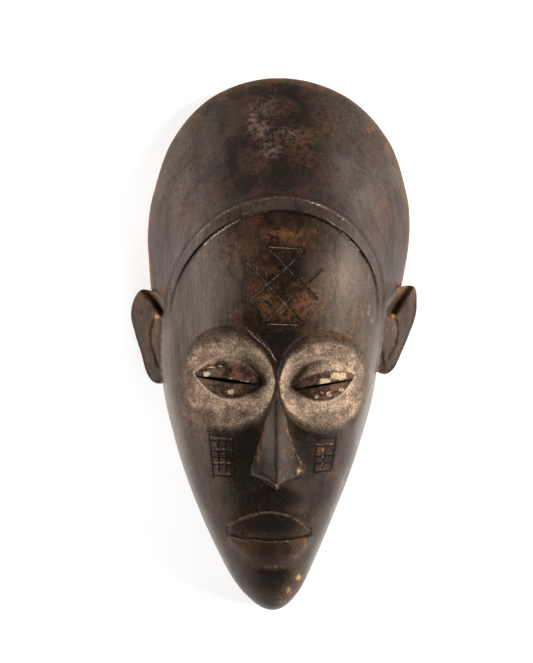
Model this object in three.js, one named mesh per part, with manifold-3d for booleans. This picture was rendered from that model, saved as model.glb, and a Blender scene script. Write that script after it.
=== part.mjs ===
// A carved wooden face mask with a tall flared coiffure, hollow behind.
// Millimetres. The mask lies on its back rim: +Z out of the face, +Y to the crown,
// +X to the viewer's right. The origin is the middle of its box, at the rim's plane.
import * as THREE from "three";
import { mergeVertices } from "three/addons/utils/BufferGeometryUtils.js";
import Module from "manifold-3d";

const wasm = await Module();
wasm.setup();

// Driving sizes
const HALF_HEIGHT = 180;
const RIM_HEIGHT = 12;
const RIM_WIDTH = 11;
const RIM_CHAMFER = 1.2;
const WALL = 17;
const CENTRE_Y = 25;

// The outline: half the head's width at each height, and how far the carver's axis strays from
// a straight line. The step at 37 to 22 is the coiffure's lower edge, above the ears.
const HALF_WIDTH = [
  [-173, 13.6], [-165, 20.6], [-149, 29.6], [-132, 37.5], [-112, 46], [-96, 52.4], [-64, 63],
  [-27, 71.7], [3, 74.2], [22, 75.2], [30, 79.6], [37, 84.2], [50, 86.3], [75, 88.6], [90, 87.8],
  [108, 84], [130, 77], [147.5, 66.4], [164, 50], [174, 31.5],
];
const SKEW = [[-180, -1], [-149, -3.7], [-110, -4.5], [-27, -3.4], [22, 0], [60, 2.6], [130, 4.4], [180, 3.4]];

// Half the width of the face's own dome, which runs on under the coiffure
const FACE_WIDTH_ABOVE = [[22, 75.2], [40, 78], [60, 81], [90, 83], [180, 84]];
const FACE_TOP = 12;

// The face's height above the rim's plane along its middle, and how square its section is
const CORE = [
  [-180, 62], [-160, 69], [-140, 75], [-120, 79], [-100, 82.5], [-60, 86.5], [-25, 89.5], [0, 94],
  [20, 98], [45, 101.5], [66, 100], [80, 96.5], [90, 92.5], [100, 88], [180, 70],
];

// The hollow's plan: it leaves out the outline's step and closes as a round end at chin and crown
const HOLLOW_Y = [-160, 169];
const HOLLOW_POWER = { side: 2.2, crown: -0.75, chin: 0.8 };
const HOLLOW_FOLLOWS = { from: -132, to: 150, skipFrom: 10, skipTo: 55 };

const SIDE_POWER = 2.25;
const CHIN_POWER = 2.3;
const CHIN_FROM = -96;

// The band over the forehead lies between two ellipses, with a groove along the inner one
const BAND_OUTER = { y: 25, a: 72, b: 73.2 };
const BAND_INNER = { y: 18, a: 70, b: 70.8 };
const BAND_RISE = 2.8;
const BAND_GROOVE = 1.4;
const GROOVE_REACH = 1.4;
const BAND_WALL = { width: 1.4, share: 0.6 };
const COIFFURE_DROP = 3;
const DROP_WIDTH = 1.6;
const FLARE_POWER = 0.92;

// Eye sockets, the almond of each eye, and the slit cut through it
const SOCKETS = [
  { side: -1, x: -31, y: -23.3, a: 33.2, b: 36.2 },
  { side: 1, x: 33.8, y: -25.2, a: 31.8, b: 34.6 },
];
const SOCKET_DEPTH = 7.8;
const SOCKET_WALL = { power: 3, crispPower: 5, nosePower: 1.5, outsidePower: 0.8 };
const SOCKET_TILT = { crisp: 0.45, nose: 0.4, outside: 0.4 };
const EYES = [
  {
    from: [-53.7, -19.6], to: [-6.6, -27.2], up: 15.6, down: 13.6,
    slit: [[-52, -21.5], [-11.2, -27]], gap: 2.6,
  },
  {
    from: [12, -28.8], to: [54.8, -20.6], up: 14.5, down: 13.8,
    slit: [[13.9, -30.4], [53.3, -23.7]], gap: 1.6,
  },
];
const EYE_RISE = 8.2;
const EYE_ROUNDNESS = { along: 0.6, across: 0.62 };

// Nose: ridge height, half width and edge height from the tip up to the bridge
const NOSE_X = 1.7;
const NOSE_TIP = -96.3;
const NOSE_TOP = -14;
const NOSE_RIDGE = [[-98.5, 20.5], [-90, 18.5], [-75, 13], [-60, 8.2], [-45, 4.4], [-30, 2], [-14, 0]];
const NOSE_WIDTH = [
  [-96.3, 15.4], [-88, 15.4], [-84, 14.9], [-78.5, 12.7], [-71.7, 10.3], [-65, 8.4], [-58.2, 6.5],
  [-51.4, 5.2], [-41.3, 3.1], [-25, 2], [-14, 1.6],
];
const NOSE_SIDES = [1.07, 0.94];
const NOSE_EDGE = [[-98.5, 8.5], [-88, 8], [-76, 5.2], [-60, 2.6], [-45, 0.8], [-30, 0], [-14, 0]];
const NOSE_WALL = 2;
const NOSE_UNDER = 2.2;
const NOSTRIL_RISE = 9.2;
const NOSTRIL_REACH = 16.5;
const NOSTRIL_POWER = 0.56;

// Mouth
const MOUTH = { x: -2.6, half: 28, line: -131, top: -112.3, bottom: -150.6 };
const LIP_RISE = 3.6;
const LIP_EDGE = 2;
const MOUTH_STEP = { rise: 1.5, width: 0.8, fades: 0.7 };
const LOWER_LIP_RISE = 2.6;
const LOWER_LIP_TURN = 0.9;
const LOWER_LIP_EDGE = 2.4;
const MOUTH_BEND = { line: 3.2, top: 10.5, bottom: 17, corner: 2 };
const LIP_FLATTENS = 0.25;

// The cheeks are hollowed beside the nose and a little under it
const CHEEK_HOLLOW = { depth: 4.2, middles: [-19, 23], y: -80, width: 22, height: 28, fall: 1.6 };
const UNDER_NOSE = { depth: 2, y: -104, width: 16, height: 7 };

// Ears: outline, and the slot cut between an ear's front ridge and the head
const EARS = [
  {
    outline: [[-71, 30], [-82.8, 36], [-90, 36.6], [-94.6, 30.6], [-96.77, 20], [-94.2, 8], [-89.6, -7],
      [-86, -19.4], [-81.6, -25.6], [-74.7, -26.3], [-68, -19], [-69.5, 8]],
    slot: [[-87.5, 37], [-80.5, 30.3], [-75.1, 21.7]],
    slotWidth: 2,
  },
  {
    outline: [[71, 31], [84, 38.6], [94.6, 38.8], [96.77, 31], [95.6, 18.8], [90.8, 5.4], [85.5, -7.1],
      [80.4, -17], [74.4, -20.4], [66, -15], [69, 8]],
    slot: [[91.4, 40], [85.3, 31.1], [79.6, 22]],
    slotWidth: 2.6,
  },
];
const EAR_REACH = 96.77;
const EAR_FRONT = { edge: 17, slope: 0.55 };
const EAR_BACK = { edge: 5, slope: 0.3 };
const EAR_ROUNDING = 2;
const SLOT_DEPTH = 6;

// The mesh: how far an edge may lie from the carved surface, and the shortest edge that is split
const HEAD_SECTORS = 36;
const EAR_SECTORS = 24;
const FRONT_TOLERANCE = 0.84;
const BACK_TOLERANCE = 1.4;
const EAR_TOLERANCE = 0.8;
const SHORTEST_EDGE = 3;

// How near a point must be to a crease to be moved onto it, as a share of its shortest edge
const SNAP_SHARE = 0.4;

// Cut lines: the cross on the forehead and the marks on the cheeks
const CUT_WIDTH = 1.5;
const CUT_DEPTH = 0.9;
const CROSS = [
  [[-3, 63.4], [28.2, 30.6]], [[-17.9, 54.3], [19.6, 13.5]], [[20.1, 61.4], [-17.9, 27.7]],
  [[31.5, 49.6], [-5.1, 15.4]], [[-3.2, 64.8], [20.1, 63.4]], [[-3.7, 13.5], [17.3, 12.6]],
  [[-17.9, 54.3], [-20.8, 28.7]],
];
const CHEEK_MARKS = [
  { corner: [-43.6, -61.8], width: 17.5, height: 26.5, columns: 3, rows: 3, lean: -0.11 },
  { corner: [27, -64.5], width: 14, height: 21, columns: 2, rows: 2, lean: 0.12 },
];

// A smooth curve through knots, without overshoot
function curveThrough(knots) {
  const last = knots.length - 1;
  const slope = knots.map(() => 0);
  const rise = (i) => (knots[i + 1][1] - knots[i][1]) / (knots[i + 1][0] - knots[i][0]);
  slope[0] = rise(0);
  slope[last] = rise(last - 1);
  for (let i = 1; i < last; i++) {
    const before = rise(i - 1);
    const after = rise(i);
    if (before * after <= 0) continue;
    const run = knots[i][0] - knots[i - 1][0];
    const next = knots[i + 1][0] - knots[i][0];
    slope[i] = 3 * (run + next) / ((2 * next + run) / before + (next + 2 * run) / after);
  }
  return (x) => {
    const at = Math.min(Math.max(x, knots[0][0]), knots[last][0]);
    let i = 0;
    while (i < last - 1 && at > knots[i + 1][0]) i++;
    const run = knots[i + 1][0] - knots[i][0];
    const t = (at - knots[i][0]) / run;
    return (1 + 2 * t) * (1 - t) ** 2 * knots[i][1] + t * (1 - t) ** 2 * run * slope[i]
      + t * t * (3 - 2 * t) * knots[i + 1][1] + t * t * (t - 1) * run * slope[i + 1];
  };
}

const clamp = THREE.MathUtils.clamp;
const smooth = (from, to, x) => THREE.MathUtils.smoothstep(x, from, to);

// The half width closes as a round end, so its square is what runs smoothly to nothing
const squaredWidth = curveThrough([
  [-HALF_HEIGHT, 0], ...HALF_WIDTH.map(([y, w]) => [y, w * w]), [HALF_HEIGHT, 0],
]);
const halfWidth = (y) => Math.sqrt(Math.max(squaredWidth(y), 0));
const squaredFaceWidth = curveThrough([
  [-HALF_HEIGHT, 0],
  ...[...HALF_WIDTH.filter(([y]) => y < FACE_TOP), ...FACE_WIDTH_ABOVE].map(([y, w]) => [y, w * w]),
]);
const faceWidth = (y) => Math.sqrt(Math.max(squaredFaceWidth(y), 1e-9));
const skew = curveThrough(SKEW);
const core = curveThrough(CORE);

// The half width of the hollow at the rim's plane
const squaredHollowWidth = curveThrough([
  [HOLLOW_Y[0], 0],
  ...HALF_WIDTH
    .filter(([y]) => y >= HOLLOW_FOLLOWS.from && y <= HOLLOW_FOLLOWS.to)
    .filter(([y]) => y < HOLLOW_FOLLOWS.skipFrom || y > HOLLOW_FOLLOWS.skipTo)
    .map(([y, w]) => [y, (w - RIM_WIDTH) ** 2]),
  [HOLLOW_Y[1], 0],
]);
const hollowWidth = (y) => Math.sqrt(Math.max(squaredHollowWidth(y), 0));

// A closed outline, given by its half width from low to high, as a radius around the forehead
function radiusOf(width, low, high) {
  const steps = 900;
  const table = [];
  for (const side of [1, -1]) {
    for (let i = 0; i < steps; i++) {
      const y = (low + high - side * (high - low) * Math.cos(Math.PI * i / steps)) / 2;
      const x = skew(y) + side * width(y);
      table.push([Math.atan2(x, y - CENTRE_Y), Math.hypot(x, y - CENTRE_Y)]);
    }
  }
  table.sort((a, b) => a[0] - b[0]);
  const [firstAngle, firstRadius] = table[0];
  const [lastAngle, lastRadius] = table.at(-1);
  table.unshift([lastAngle - 2 * Math.PI, lastRadius]);
  table.push([firstAngle + 2 * Math.PI, firstRadius]);
  return (turn) => {
    const angle = turn - 2 * Math.PI * Math.round(turn / (2 * Math.PI));
    let before = 0;
    let after = table.length - 1;
    while (after - before > 1) {
      const middle = (before + after) >> 1;
      if (table[middle][0] <= angle) before = middle;
      else after = middle;
    }
    const share = (angle - table[before][0]) / Math.max(table[after][0] - table[before][0], 1e-9);
    return table[before][1] + (table[after][1] - table[before][1]) * share;
  };
}
const outerRadius = radiusOf(halfWidth, -HALF_HEIGHT, HALF_HEIGHT);
const innerRadius = radiusOf(hollowWidth, ...HOLLOW_Y);

// The dome of the face, before anything is cut into it
function face(x, y) {
  const across = clamp(Math.abs(x - skew(y)) / faceWidth(y), 0, 1);
  const down = clamp((CHIN_FROM - y) / (CHIN_FROM + HALF_HEIGHT), 0, 1);
  const side = (1 - across ** SIDE_POWER) ** (1 / SIDE_POWER);
  const chin = (1 - down ** CHIN_POWER) ** (1 / CHIN_POWER);
  return RIM_HEIGHT + (core(y) - RIM_HEIGHT) * side * chin;
}

// How far out a point lies from the middle of one of the band's ellipses; 1 is on it
function bandReach(ellipse, x, y) {
  const middle = skew(clamp(y, 20, 98));
  return Math.hypot((x - middle) / ellipse.a, (y - ellipse.y) / ellipse.b);
}

// The coiffure flares from the band's outer edge down to the rim
function coiffure(x, y, reach) {
  const radius = Math.hypot(x, y - CENTRE_Y);
  const start = radius / reach;
  const end = outerRadius(Math.atan2(x, y - CENTRE_Y));
  const t = clamp((radius - start) / Math.max(end - start, 1e-3), 0, 1);
  const beyond = (reach - 1) * BAND_OUTER.a;
  const edgeY = CENTRE_Y + (y - CENTRE_Y) / reach;
  const band = BAND_RISE * smooth(12, 40, edgeY);
  const top = face(x / reach, edgeY) + band - COIFFURE_DROP * smooth(0, DROP_WIDTH, beyond);
  return top + (RIM_HEIGHT - top) * t ** FLARE_POWER;
}

// The head without its features: face, band and coiffure
function head(x, y) {
  const dome = face(x, y);
  const outer = bandReach(BAND_OUTER, x, y);
  if (outer > 1) {
    const share = smooth(14, 34, y);
    return share > 0 ? dome * (1 - share) + coiffure(x, y, outer) * share : dome;
  }
  const pastGroove = (bandReach(BAND_INNER, x, y) - 1) * BAND_INNER.a;
  const shown = smooth(8, 38, y);
  if (pastGroove < 0) return dome - BAND_GROOVE * clamp(1 + pastGroove / GROOVE_REACH, 0, 1) * shown;
  const width = Math.max(pastGroove - (outer - 1) * BAND_OUTER.a, 0.8);
  const wall = clamp(pastGroove / Math.min(BAND_WALL.width, width / 2), 0, 1);
  const k = BAND_WALL.share * wall + (1 - BAND_WALL.share) * clamp(pastGroove / width, 0, 1);
  return dome + (BAND_RISE * k - BAND_GROOVE * (1 - k)) * shown * clamp(width / 6, 0.4, 1);
}

// An eye socket is a dish, steep under the brow beside the nose and soft on the outside
const socketReach = (socket, x, y) => Math.hypot((x - socket.x) / socket.a, (y - socket.y) / socket.b);
function socketDepth(socket, x, y) {
  const q = socketReach(socket, x, y);
  if (q >= 1) return 0;
  const inward = -socket.side * (x - socket.x) / socket.a / Math.max(q, 1e-6);
  const upward = (y - socket.y) / socket.b / Math.max(q, 1e-6);
  const crisp = 1.3 * Math.max(0.62 * (inward + upward), 0) ** 2;
  const noseSide = Math.max(inward, 0) ** 2;
  const outside = Math.max(-inward, 0) ** 2;
  const wall = SOCKET_WALL;
  const tilt = SOCKET_TILT;
  const power = wall.power + wall.crispPower * crisp + wall.nosePower * noseSide - wall.outsidePower * outside;
  const scale = 1 + tilt.crisp * crisp + tilt.nose * noseSide - tilt.outside * outside;
  return SOCKET_DEPTH * (1 + (scale - 1) * q) * (1 - q ** power);
}

// Along an eye's length u runs from -1 to 1; v is the distance above its middle line
function alongEye(eye, x, y) {
  const [x0, y0] = eye.from;
  const [x1, y1] = eye.to;
  const half = Math.hypot(x1 - x0, y1 - y0) / 2;
  const dx = x - (x0 + x1) / 2;
  const dy = y - (y0 + y1) / 2;
  const ux = (x1 - x0) / (2 * half);
  const uy = (y1 - y0) / (2 * half);
  const u = (dx * ux + dy * uy) / half;
  const v = dy * ux - dx * uy;
  return { u, v, reach: (v > 0 ? eye.up : eye.down) * (1 - u * u) };
}
function eyeRise(eye, x, y) {
  const { u, v, reach } = alongEye(eye, x, y);
  if (Math.abs(u) >= 1 || Math.abs(v) >= reach) return 0;
  const lens = 1 - u * u;
  return EYE_RISE * lens ** EYE_ROUNDNESS.along * (1 - (v / reach) ** 2) ** EYE_ROUNDNESS.across;
}

// The nose: two planes meeting on a sharp ridge, with short walls down to the cheeks
const noseRidge = curveThrough(NOSE_RIDGE);
const noseWidth = curveThrough(NOSE_WIDTH);
const noseEdge = curveThrough(NOSE_EDGE);
const noseHalf = (x, y) => noseWidth(y) * NOSE_SIDES[x < NOSE_X ? 0 : 1];
const noseBase = (x) => {
  const out = clamp(Math.abs(x - NOSE_X) / NOSTRIL_REACH, 0, 1.3);
  return NOSE_TIP + NOSTRIL_RISE * out ** NOSTRIL_POWER;
};
function nose(x, y) {
  if (y > NOSE_TOP) return 0;
  const off = Math.abs(x - NOSE_X);
  const width = noseHalf(x, y);
  const under = clamp(1 - (noseBase(x) - y) / NOSE_UNDER, 0, 1);
  if (off > width) return noseEdge(y) * clamp(1 - (off - width) / NOSE_WALL, 0, 1) * under;
  return (noseRidge(y) + (noseEdge(y) - noseRidge(y)) * off / width) * under;
}

// The mouth: the upper lip slopes in to the mouth line, where the lower lip stands a step higher
function mouthLines(x) {
  const u = clamp(Math.abs(x - MOUTH.x) / MOUTH.half, 0, 1.04);
  return {
    u,
    line: MOUTH.line + MOUTH_BEND.line * u * u,
    top: MOUTH.top - MOUTH_BEND.top * u ** 1.7,
    bottom: MOUTH.bottom + MOUTH_BEND.bottom * u ** 1.6 + MOUTH_BEND.corner * u ** 8,
  };
}
function mouth(x, y) {
  const { u, line, top, bottom } = mouthLines(x);
  const shown = 1 - smooth(0.93, 1.04, u);
  if (shown === 0) return 0;
  const flatten = 1 - LIP_FLATTENS * u * u;
  if (y > line) {
    const up = (y - line) / (top - line);
    const lip = up < 1 ? LIP_RISE * up ** 0.9 : LIP_RISE * clamp(1 - (y - top) / LIP_EDGE, 0, 1);
    return lip * shown * flatten;
  }
  const down = clamp((line - y) / (line - bottom), 0, 1);
  const step = MOUTH_STEP.rise * clamp((line - y) / MOUTH_STEP.width, 0, 1);
  const bulge = LOWER_LIP_RISE * Math.sin(LOWER_LIP_TURN * Math.PI * down ** 0.9);
  const lip = step * (1 - MOUTH_STEP.fades * down) + bulge;
  return lip * clamp(1 - (bottom - y) / LOWER_LIP_EDGE, 0, 1) * shown * flatten;
}

// The hollows of the cheeks run up to the sockets' lower edges
function cheekHollow(x, y) {
  const nearest = Math.min(...SOCKETS.map((socket) => socketReach(socket, x, y)));
  const away = (middle, bowl) => ((x - middle) / bowl.width) ** 2 + ((y - bowl.y) / bowl.height) ** 2;
  const [left, right] = CHEEK_HOLLOW.middles
    .map((middle) => CHEEK_HOLLOW.depth * Math.exp(-CHEEK_HOLLOW.fall * away(middle, CHEEK_HOLLOW)));
  const underNose = UNDER_NOSE.depth * Math.exp(-away(NOSE_X, UNDER_NOSE));
  return (left + right + underNose) * smooth(0.98, 1.12, nearest);
}

// The height of the carved front
function front(x, y) {
  const socket = Math.max(...SOCKETS.map((each) => socketDepth(each, x, y)));
  const eyes = eyeRise(EYES[0], x, y) + eyeRise(EYES[1], x, y);
  return head(x, y) - socket - cheekHollow(x, y) + eyes + nose(x, y) + mouth(x, y);
}

// The height of the hollow inside
function hollow(x, y, rho, turn) {
  const up = Math.cos(turn);
  const end = up > 0 ? HOLLOW_POWER.crown : HOLLOW_POWER.chin;
  const power = HOLLOW_POWER.side + Math.min(rho, 1) * up * up * end;
  return (core(y) - WALL) * (1 - Math.min(rho, 1) ** power) ** (1 / power);
}

// A point of the whole head. Sweep 0 to 1 is the front, 1 to 2 the rim's outer wall, 2 to 3 the
// rim's flat underside and 3 to 4 the hollow.
function headPoint(sweep, turn) {
  const outer = outerRadius(turn);
  const at = (radius, height) => {
    const x = radius * Math.sin(turn);
    const y = CENTRE_Y + radius * Math.cos(turn);
    return new THREE.Vector3(x, y, height(x, y));
  };
  if (sweep <= 1) return at(outer * Math.sin(sweep * Math.PI / 2), front);
  if (sweep <= 2) return at(outer - RIM_CHAMFER * (sweep - 1), () => RIM_HEIGHT * (2 - sweep));
  const inner = innerRadius(turn);
  if (sweep <= 3) return at(inner + (outer - RIM_CHAMFER - inner) * (3 - sweep), () => 0);
  const rho = Math.sin((4 - sweep) * Math.PI / 2);
  return at(inner * rho, (x, y) => hollow(x, y, rho, turn));
}

// Lines where the front changes slope sharply. Each gives a value that is zero on its line.
const CREASES = [
  (x, y) => (y > 10 ? bandReach(BAND_OUTER, x, y) - 1 : null),
  (x, y) => (y > 10 ? bandReach(BAND_OUTER, x, y) - 1 - DROP_WIDTH / BAND_OUTER.a : null),
  (x, y) => (y > 10 ? bandReach(BAND_INNER, x, y) - 1 : null),
  ...SOCKETS.map((socket) => (x, y) => socketReach(socket, x, y) - 1),
  ...EYES.flatMap((eye) => [
    (x, y) => {
      const { u, v, reach } = alongEye(eye, x, y);
      return Math.abs(u) < 1 ? Math.abs(v) - reach : null;
    },
    (x, y) => {
      const { u, v } = alongEye(eye, x, y);
      return Math.abs(u) < 1 ? v : null;
    },
  ]),
  (x, y) => (y < NOSE_TOP && y > NOSE_TIP - 1 ? x - NOSE_X : null),
  (x, y) => (y < -30 && y > NOSE_TIP ? Math.abs(x - NOSE_X) - noseHalf(x, y) : null),
  (x, y) => (y < -40 && y > NOSE_TIP ? Math.abs(x - NOSE_X) - noseHalf(x, y) - NOSE_WALL : null),
  (x, y) => (Math.abs(x - NOSE_X) < 19 ? y - noseBase(x) : null),
  (x, y) => (Math.abs(x - NOSE_X) < 19 ? y - noseBase(x) + NOSE_UNDER : null),
  ...["line", "top", "bottom"].map((name) => (x, y) => {
    const lines = mouthLines(x);
    return lines.u < 1 ? y - lines[name] : null;
  }),
];

// Where an edge between two swept points crosses a crease, as a share of its length
function crossing(between, creases) {
  let best = 0.5;
  let nearest = 0.38;
  const start = between(0).point;
  const end = between(1).point;
  for (const crease of creases) {
    const atStart = crease(start.x, start.y);
    const atEnd = crease(end.x, end.y);
    if (atStart === null || atEnd === null || atStart * atEnd >= 0) continue;
    let low = 0;
    let high = 1;
    for (let i = 0; i < 10; i++) {
      const middle = (low + high) / 2;
      const { point } = between(middle);
      const value = crease(point.x, point.y);
      if (value === null) break;
      if (value * atStart > 0) low = middle;
      else high = middle;
    }
    if (Math.abs(low - 0.5) < nearest) {
      nearest = Math.abs(low - 0.5);
      best = low;
    }
  }
  return best;
}

// Splits a swept mesh until every edge lies within the tolerance of the true surface
function refine({ points, faces, place, creases, tolerance, shortest }) {
  const made = points.map(([sweep, turn, pole]) => ({ sweep, turn, pole, point: place(sweep, turn) }));
  let triangles = faces;
  const passes = 14;
  for (let pass = 0; pass < passes; pass++) {
    const edges = new Map();
    const keyOf = (i, j) => (i < j ? i * 1e6 + j : j * 1e6 + i);
    const span = (i, j) => made[i].point.distanceTo(made[j].point);
    const blend = (i, j) => (share) => {
      const a = made[i];
      const b = made[j];
      const gap = b.turn - a.turn;
      const around = gap - 2 * Math.PI * Math.round(gap / (2 * Math.PI));
      const turn = a.pole ? b.turn : b.pole ? a.turn : a.turn + around * share;
      const sweep = a.sweep + (b.sweep - a.sweep) * share;
      return { sweep, turn, pole: false, point: place(sweep, turn) };
    };
    for (const [a, b, c] of triangles) {
      for (const [i, j] of [[a, b], [b, c], [c, a]]) {
        const key = keyOf(i, j);
        if (edges.has(key)) continue;
        const line = new THREE.Line3(made[i].point, made[j].point);
        const between = blend(i, j);
        const limit = tolerance(Math.min(made[i].sweep, made[j].sweep));
        const off = [0.25, 0.5, 0.75].map((share) => {
          const { point } = between(share);
          return point.distanceTo(line.closestPointToPoint(point, true, new THREE.Vector3()));
        });
        edges.set(key, { wanted: line.distance() > shortest && Math.max(...off) > limit, between });
      }
    }
    let spreading = true;
    while (spreading) {
      spreading = false;
      for (const [a, b, c] of triangles) {
        const sides = [[a, b], [b, c], [c, a]];
        if (!sides.some(([i, j]) => edges.get(keyOf(i, j)).wanted)) continue;
        const [i, j] = sides.reduce((long, side) => (span(...side) > span(...long) ? side : long));
        const edge = edges.get(keyOf(i, j));
        if (!edge.wanted) {
          edge.wanted = true;
          spreading = true;
        }
      }
    }
    let added = false;
    for (const edge of edges.values()) {
      if (!edge.wanted) continue;
      const share = edge.between(0.5).sweep <= 1 ? crossing(edge.between, creases) : 0.5;
      edge.middle = made.push(edge.between(share)) - 1;
      added = true;
    }
    if (!added) break;
    const next = [];
    const cut = (a, b, c) => {
      const sides = [[a, b, c], [b, c, a], [c, a, b]]
        .filter(([i, j]) => edges.get(keyOf(i, j))?.middle !== undefined)
        .sort((one, two) => span(two[0], two[1]) - span(one[0], one[1]));
      if (sides.length === 0) {
        next.push([a, b, c]);
        return;
      }
      const [i, j, k] = sides[0];
      const { middle } = edges.get(keyOf(i, j));
      cut(i, middle, k);
      cut(middle, j, k);
    };
    triangles.forEach(([a, b, c]) => cut(a, b, c));
    triangles = next;
  }
  return { vertices: made.map(({ point }) => point), sweeps: made.map(({ sweep }) => sweep), triangles };
}

// Moves the front's points that lie close to a crease onto it, so that its line runs clean
function snapToCreases({ vertices, sweeps, triangles }) {
  const nearest = vertices.map(() => Infinity);
  for (const [a, b, c] of triangles) {
    for (const [i, j] of [[a, b], [b, c], [c, a]]) {
      const length = Math.hypot(vertices[i].x - vertices[j].x, vertices[i].y - vertices[j].y);
      nearest[i] = Math.min(nearest[i], length);
      nearest[j] = Math.min(nearest[j], length);
    }
  }
  const step = 0.02;
  const moved = vertices.map((point, i) => {
    if (sweeps[i] >= 1) return point;
    let best = SNAP_SHARE * nearest[i];
    let to = point;
    for (const crease of CREASES) {
      const value = crease(point.x, point.y);
      const right = crease(point.x + step, point.y);
      const above = crease(point.x, point.y + step);
      if (value === null || right === null || above === null) continue;
      const slopeX = (right - value) / step;
      const slopeY = (above - value) / step;
      const squared = Math.max(slopeX ** 2 + slopeY ** 2, 1e-12);
      const distance = Math.abs(value) / Math.sqrt(squared);
      if (distance >= best) continue;
      best = distance;
      const x = point.x - value * slopeX / squared;
      const y = point.y - value * slopeY / squared;
      to = new THREE.Vector3(x, y, front(x, y));
    }
    return to;
  });
  return { vertices: moved, triangles };
}

// The coarse mesh that the refinement starts from: rings of a sweep, closed by a pole at each end
function sweptSeed(rings, sectors) {
  const last = rings.length - 1;
  const points = [[rings[0], 0, true]];
  for (let r = 1; r < last; r++) {
    for (let j = 0; j < sectors; j++) points.push([rings[r], 2 * Math.PI * j / sectors, false]);
  }
  points.push([rings[last], 0, true]);
  const at = (r, j) => 1 + (r - 1) * sectors + (j % sectors);
  const faces = [];
  for (let j = 0; j < sectors; j++) {
    faces.push([0, at(1, j + 1), at(1, j)]);
    faces.push([points.length - 1, at(last - 1, j), at(last - 1, j + 1)]);
    for (let r = 1; r < last - 1; r++) {
      faces.push([at(r, j), at(r, j + 1), at(r + 1, j)]);
      faces.push([at(r, j + 1), at(r + 1, j + 1), at(r + 1, j)]);
    }
  }
  return { points, faces };
}

function toManifold({ vertices, triangles }) {
  return new wasm.Manifold(new wasm.Mesh({
    numProp: 3,
    vertProperties: new Float32Array(vertices.flatMap((v) => [v.x, v.y, v.z])),
    triVerts: new Uint32Array(triangles.flat()),
  }));
}
function geometryToManifold(geometry) {
  const bare = geometry.clone();
  bare.deleteAttribute("normal");
  bare.deleteAttribute("uv");
  const merged = mergeVertices(bare, 1e-5);
  return new wasm.Manifold(new wasm.Mesh({
    numProp: 3,
    vertProperties: new Float32Array(merged.attributes.position.array),
    triVerts: new Uint32Array(merged.index.array),
  }));
}

function headSolid() {
  const rings = [0, 0.17, 0.34, 0.5, 0.66, 0.82, 0.93, 1, 2, 3, 3.1, 3.25, 3.5, 3.75, 4];
  return toManifold(snapToCreases(refine({
    ...sweptSeed(rings, HEAD_SECTORS),
    place: headPoint,
    creases: CREASES,
    tolerance: (sweep) => (sweep < 1 ? FRONT_TOLERANCE : BACK_TOLERANCE),
    shortest: SHORTEST_EDGE,
  })));
}

// An ear: a slab leaning out from the side of the head, with a slot behind its front ridge
function earSolid({ outline, slot, slotWidth }) {
  const corners = outline.map(([x, y]) => new THREE.Vector3(x, y, 0));
  const loop = new THREE.CatmullRomCurve3(corners, true, "centripetal");
  const samples = loop.getPoints(400).slice(0, -1);
  const middle = samples.reduce((sum, p) => sum.add(p), new THREE.Vector3()).divideScalar(samples.length);
  const table = samples
    .map((p) => [Math.atan2(p.x - middle.x, p.y - middle.y), Math.hypot(p.x - middle.x, p.y - middle.y)])
    .sort((a, b) => a[0] - b[0]);
  const radius = curveThrough([
    [table.at(-1)[0] - 2 * Math.PI, table.at(-1)[1]], ...table, [table[0][0] + 2 * Math.PI, table[0][1]],
  ]);
  const slotPoints = new THREE.SplineCurve(slot.map(([x, y]) => new THREE.Vector2(x, y))).getPoints(24);
  const slotDistance = (x, y) => Math.min(...slotPoints.map((p) => Math.hypot(p.x - x, p.y - y)));
  const plane = ({ edge, slope }, x) => edge + slope * (EAR_REACH - Math.abs(x));
  const frontHeight = (x, y, rho) => {
    const cut = SLOT_DEPTH * Math.exp(-((slotDistance(x, y) / slotWidth) ** 2));
    return plane(EAR_FRONT, x) - cut - EAR_ROUNDING * rho ** 8;
  };
  const place = (sweep, turn) => {
    const angle = turn - 2 * Math.PI * Math.round(turn / (2 * Math.PI));
    const rho = sweep <= 1 ? sweep : sweep <= 2 ? 1 : 3 - sweep;
    const x = middle.x + rho * radius(angle) * Math.sin(angle);
    const y = middle.y + rho * radius(angle) * Math.cos(angle);
    const above = frontHeight(x, y, rho);
    const below = plane(EAR_BACK, x);
    if (sweep <= 1) return new THREE.Vector3(x, y, above);
    if (sweep <= 2) return new THREE.Vector3(x, y, above + (below - above) * (sweep - 1));
    return new THREE.Vector3(x, y, below);
  };
  return toManifold(refine({
    ...sweptSeed([0, 0.5, 1, 2, 2.5, 3], EAR_SECTORS),
    place,
    creases: [],
    tolerance: () => EAR_TOLERANCE,
    shortest: SHORTEST_EDGE,
  }));
}

// The slit through an eye, as a narrow lens cut straight through the wall
function slitTool({ slit, gap }) {
  const [from, to] = slit.map(([x, y]) => new THREE.Vector2(x, y));
  const middle = from.clone().add(to).multiplyScalar(0.5);
  const across = new THREE.Vector2(from.y - to.y, to.x - from.x).normalize().multiplyScalar(gap);
  const lens = new THREE.Shape();
  lens.moveTo(from.x, from.y);
  lens.quadraticCurveTo(middle.x - across.x, middle.y - across.y, to.x, to.y);
  lens.quadraticCurveTo(middle.x + across.x, middle.y + across.y, from.x, from.y);
  const tool = new THREE.ExtrudeGeometry(lens, { depth: 80, bevelEnabled: false, curveSegments: 6 });
  tool.translate(0, 0, 40);
  return geometryToManifold(tool);
}

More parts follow.
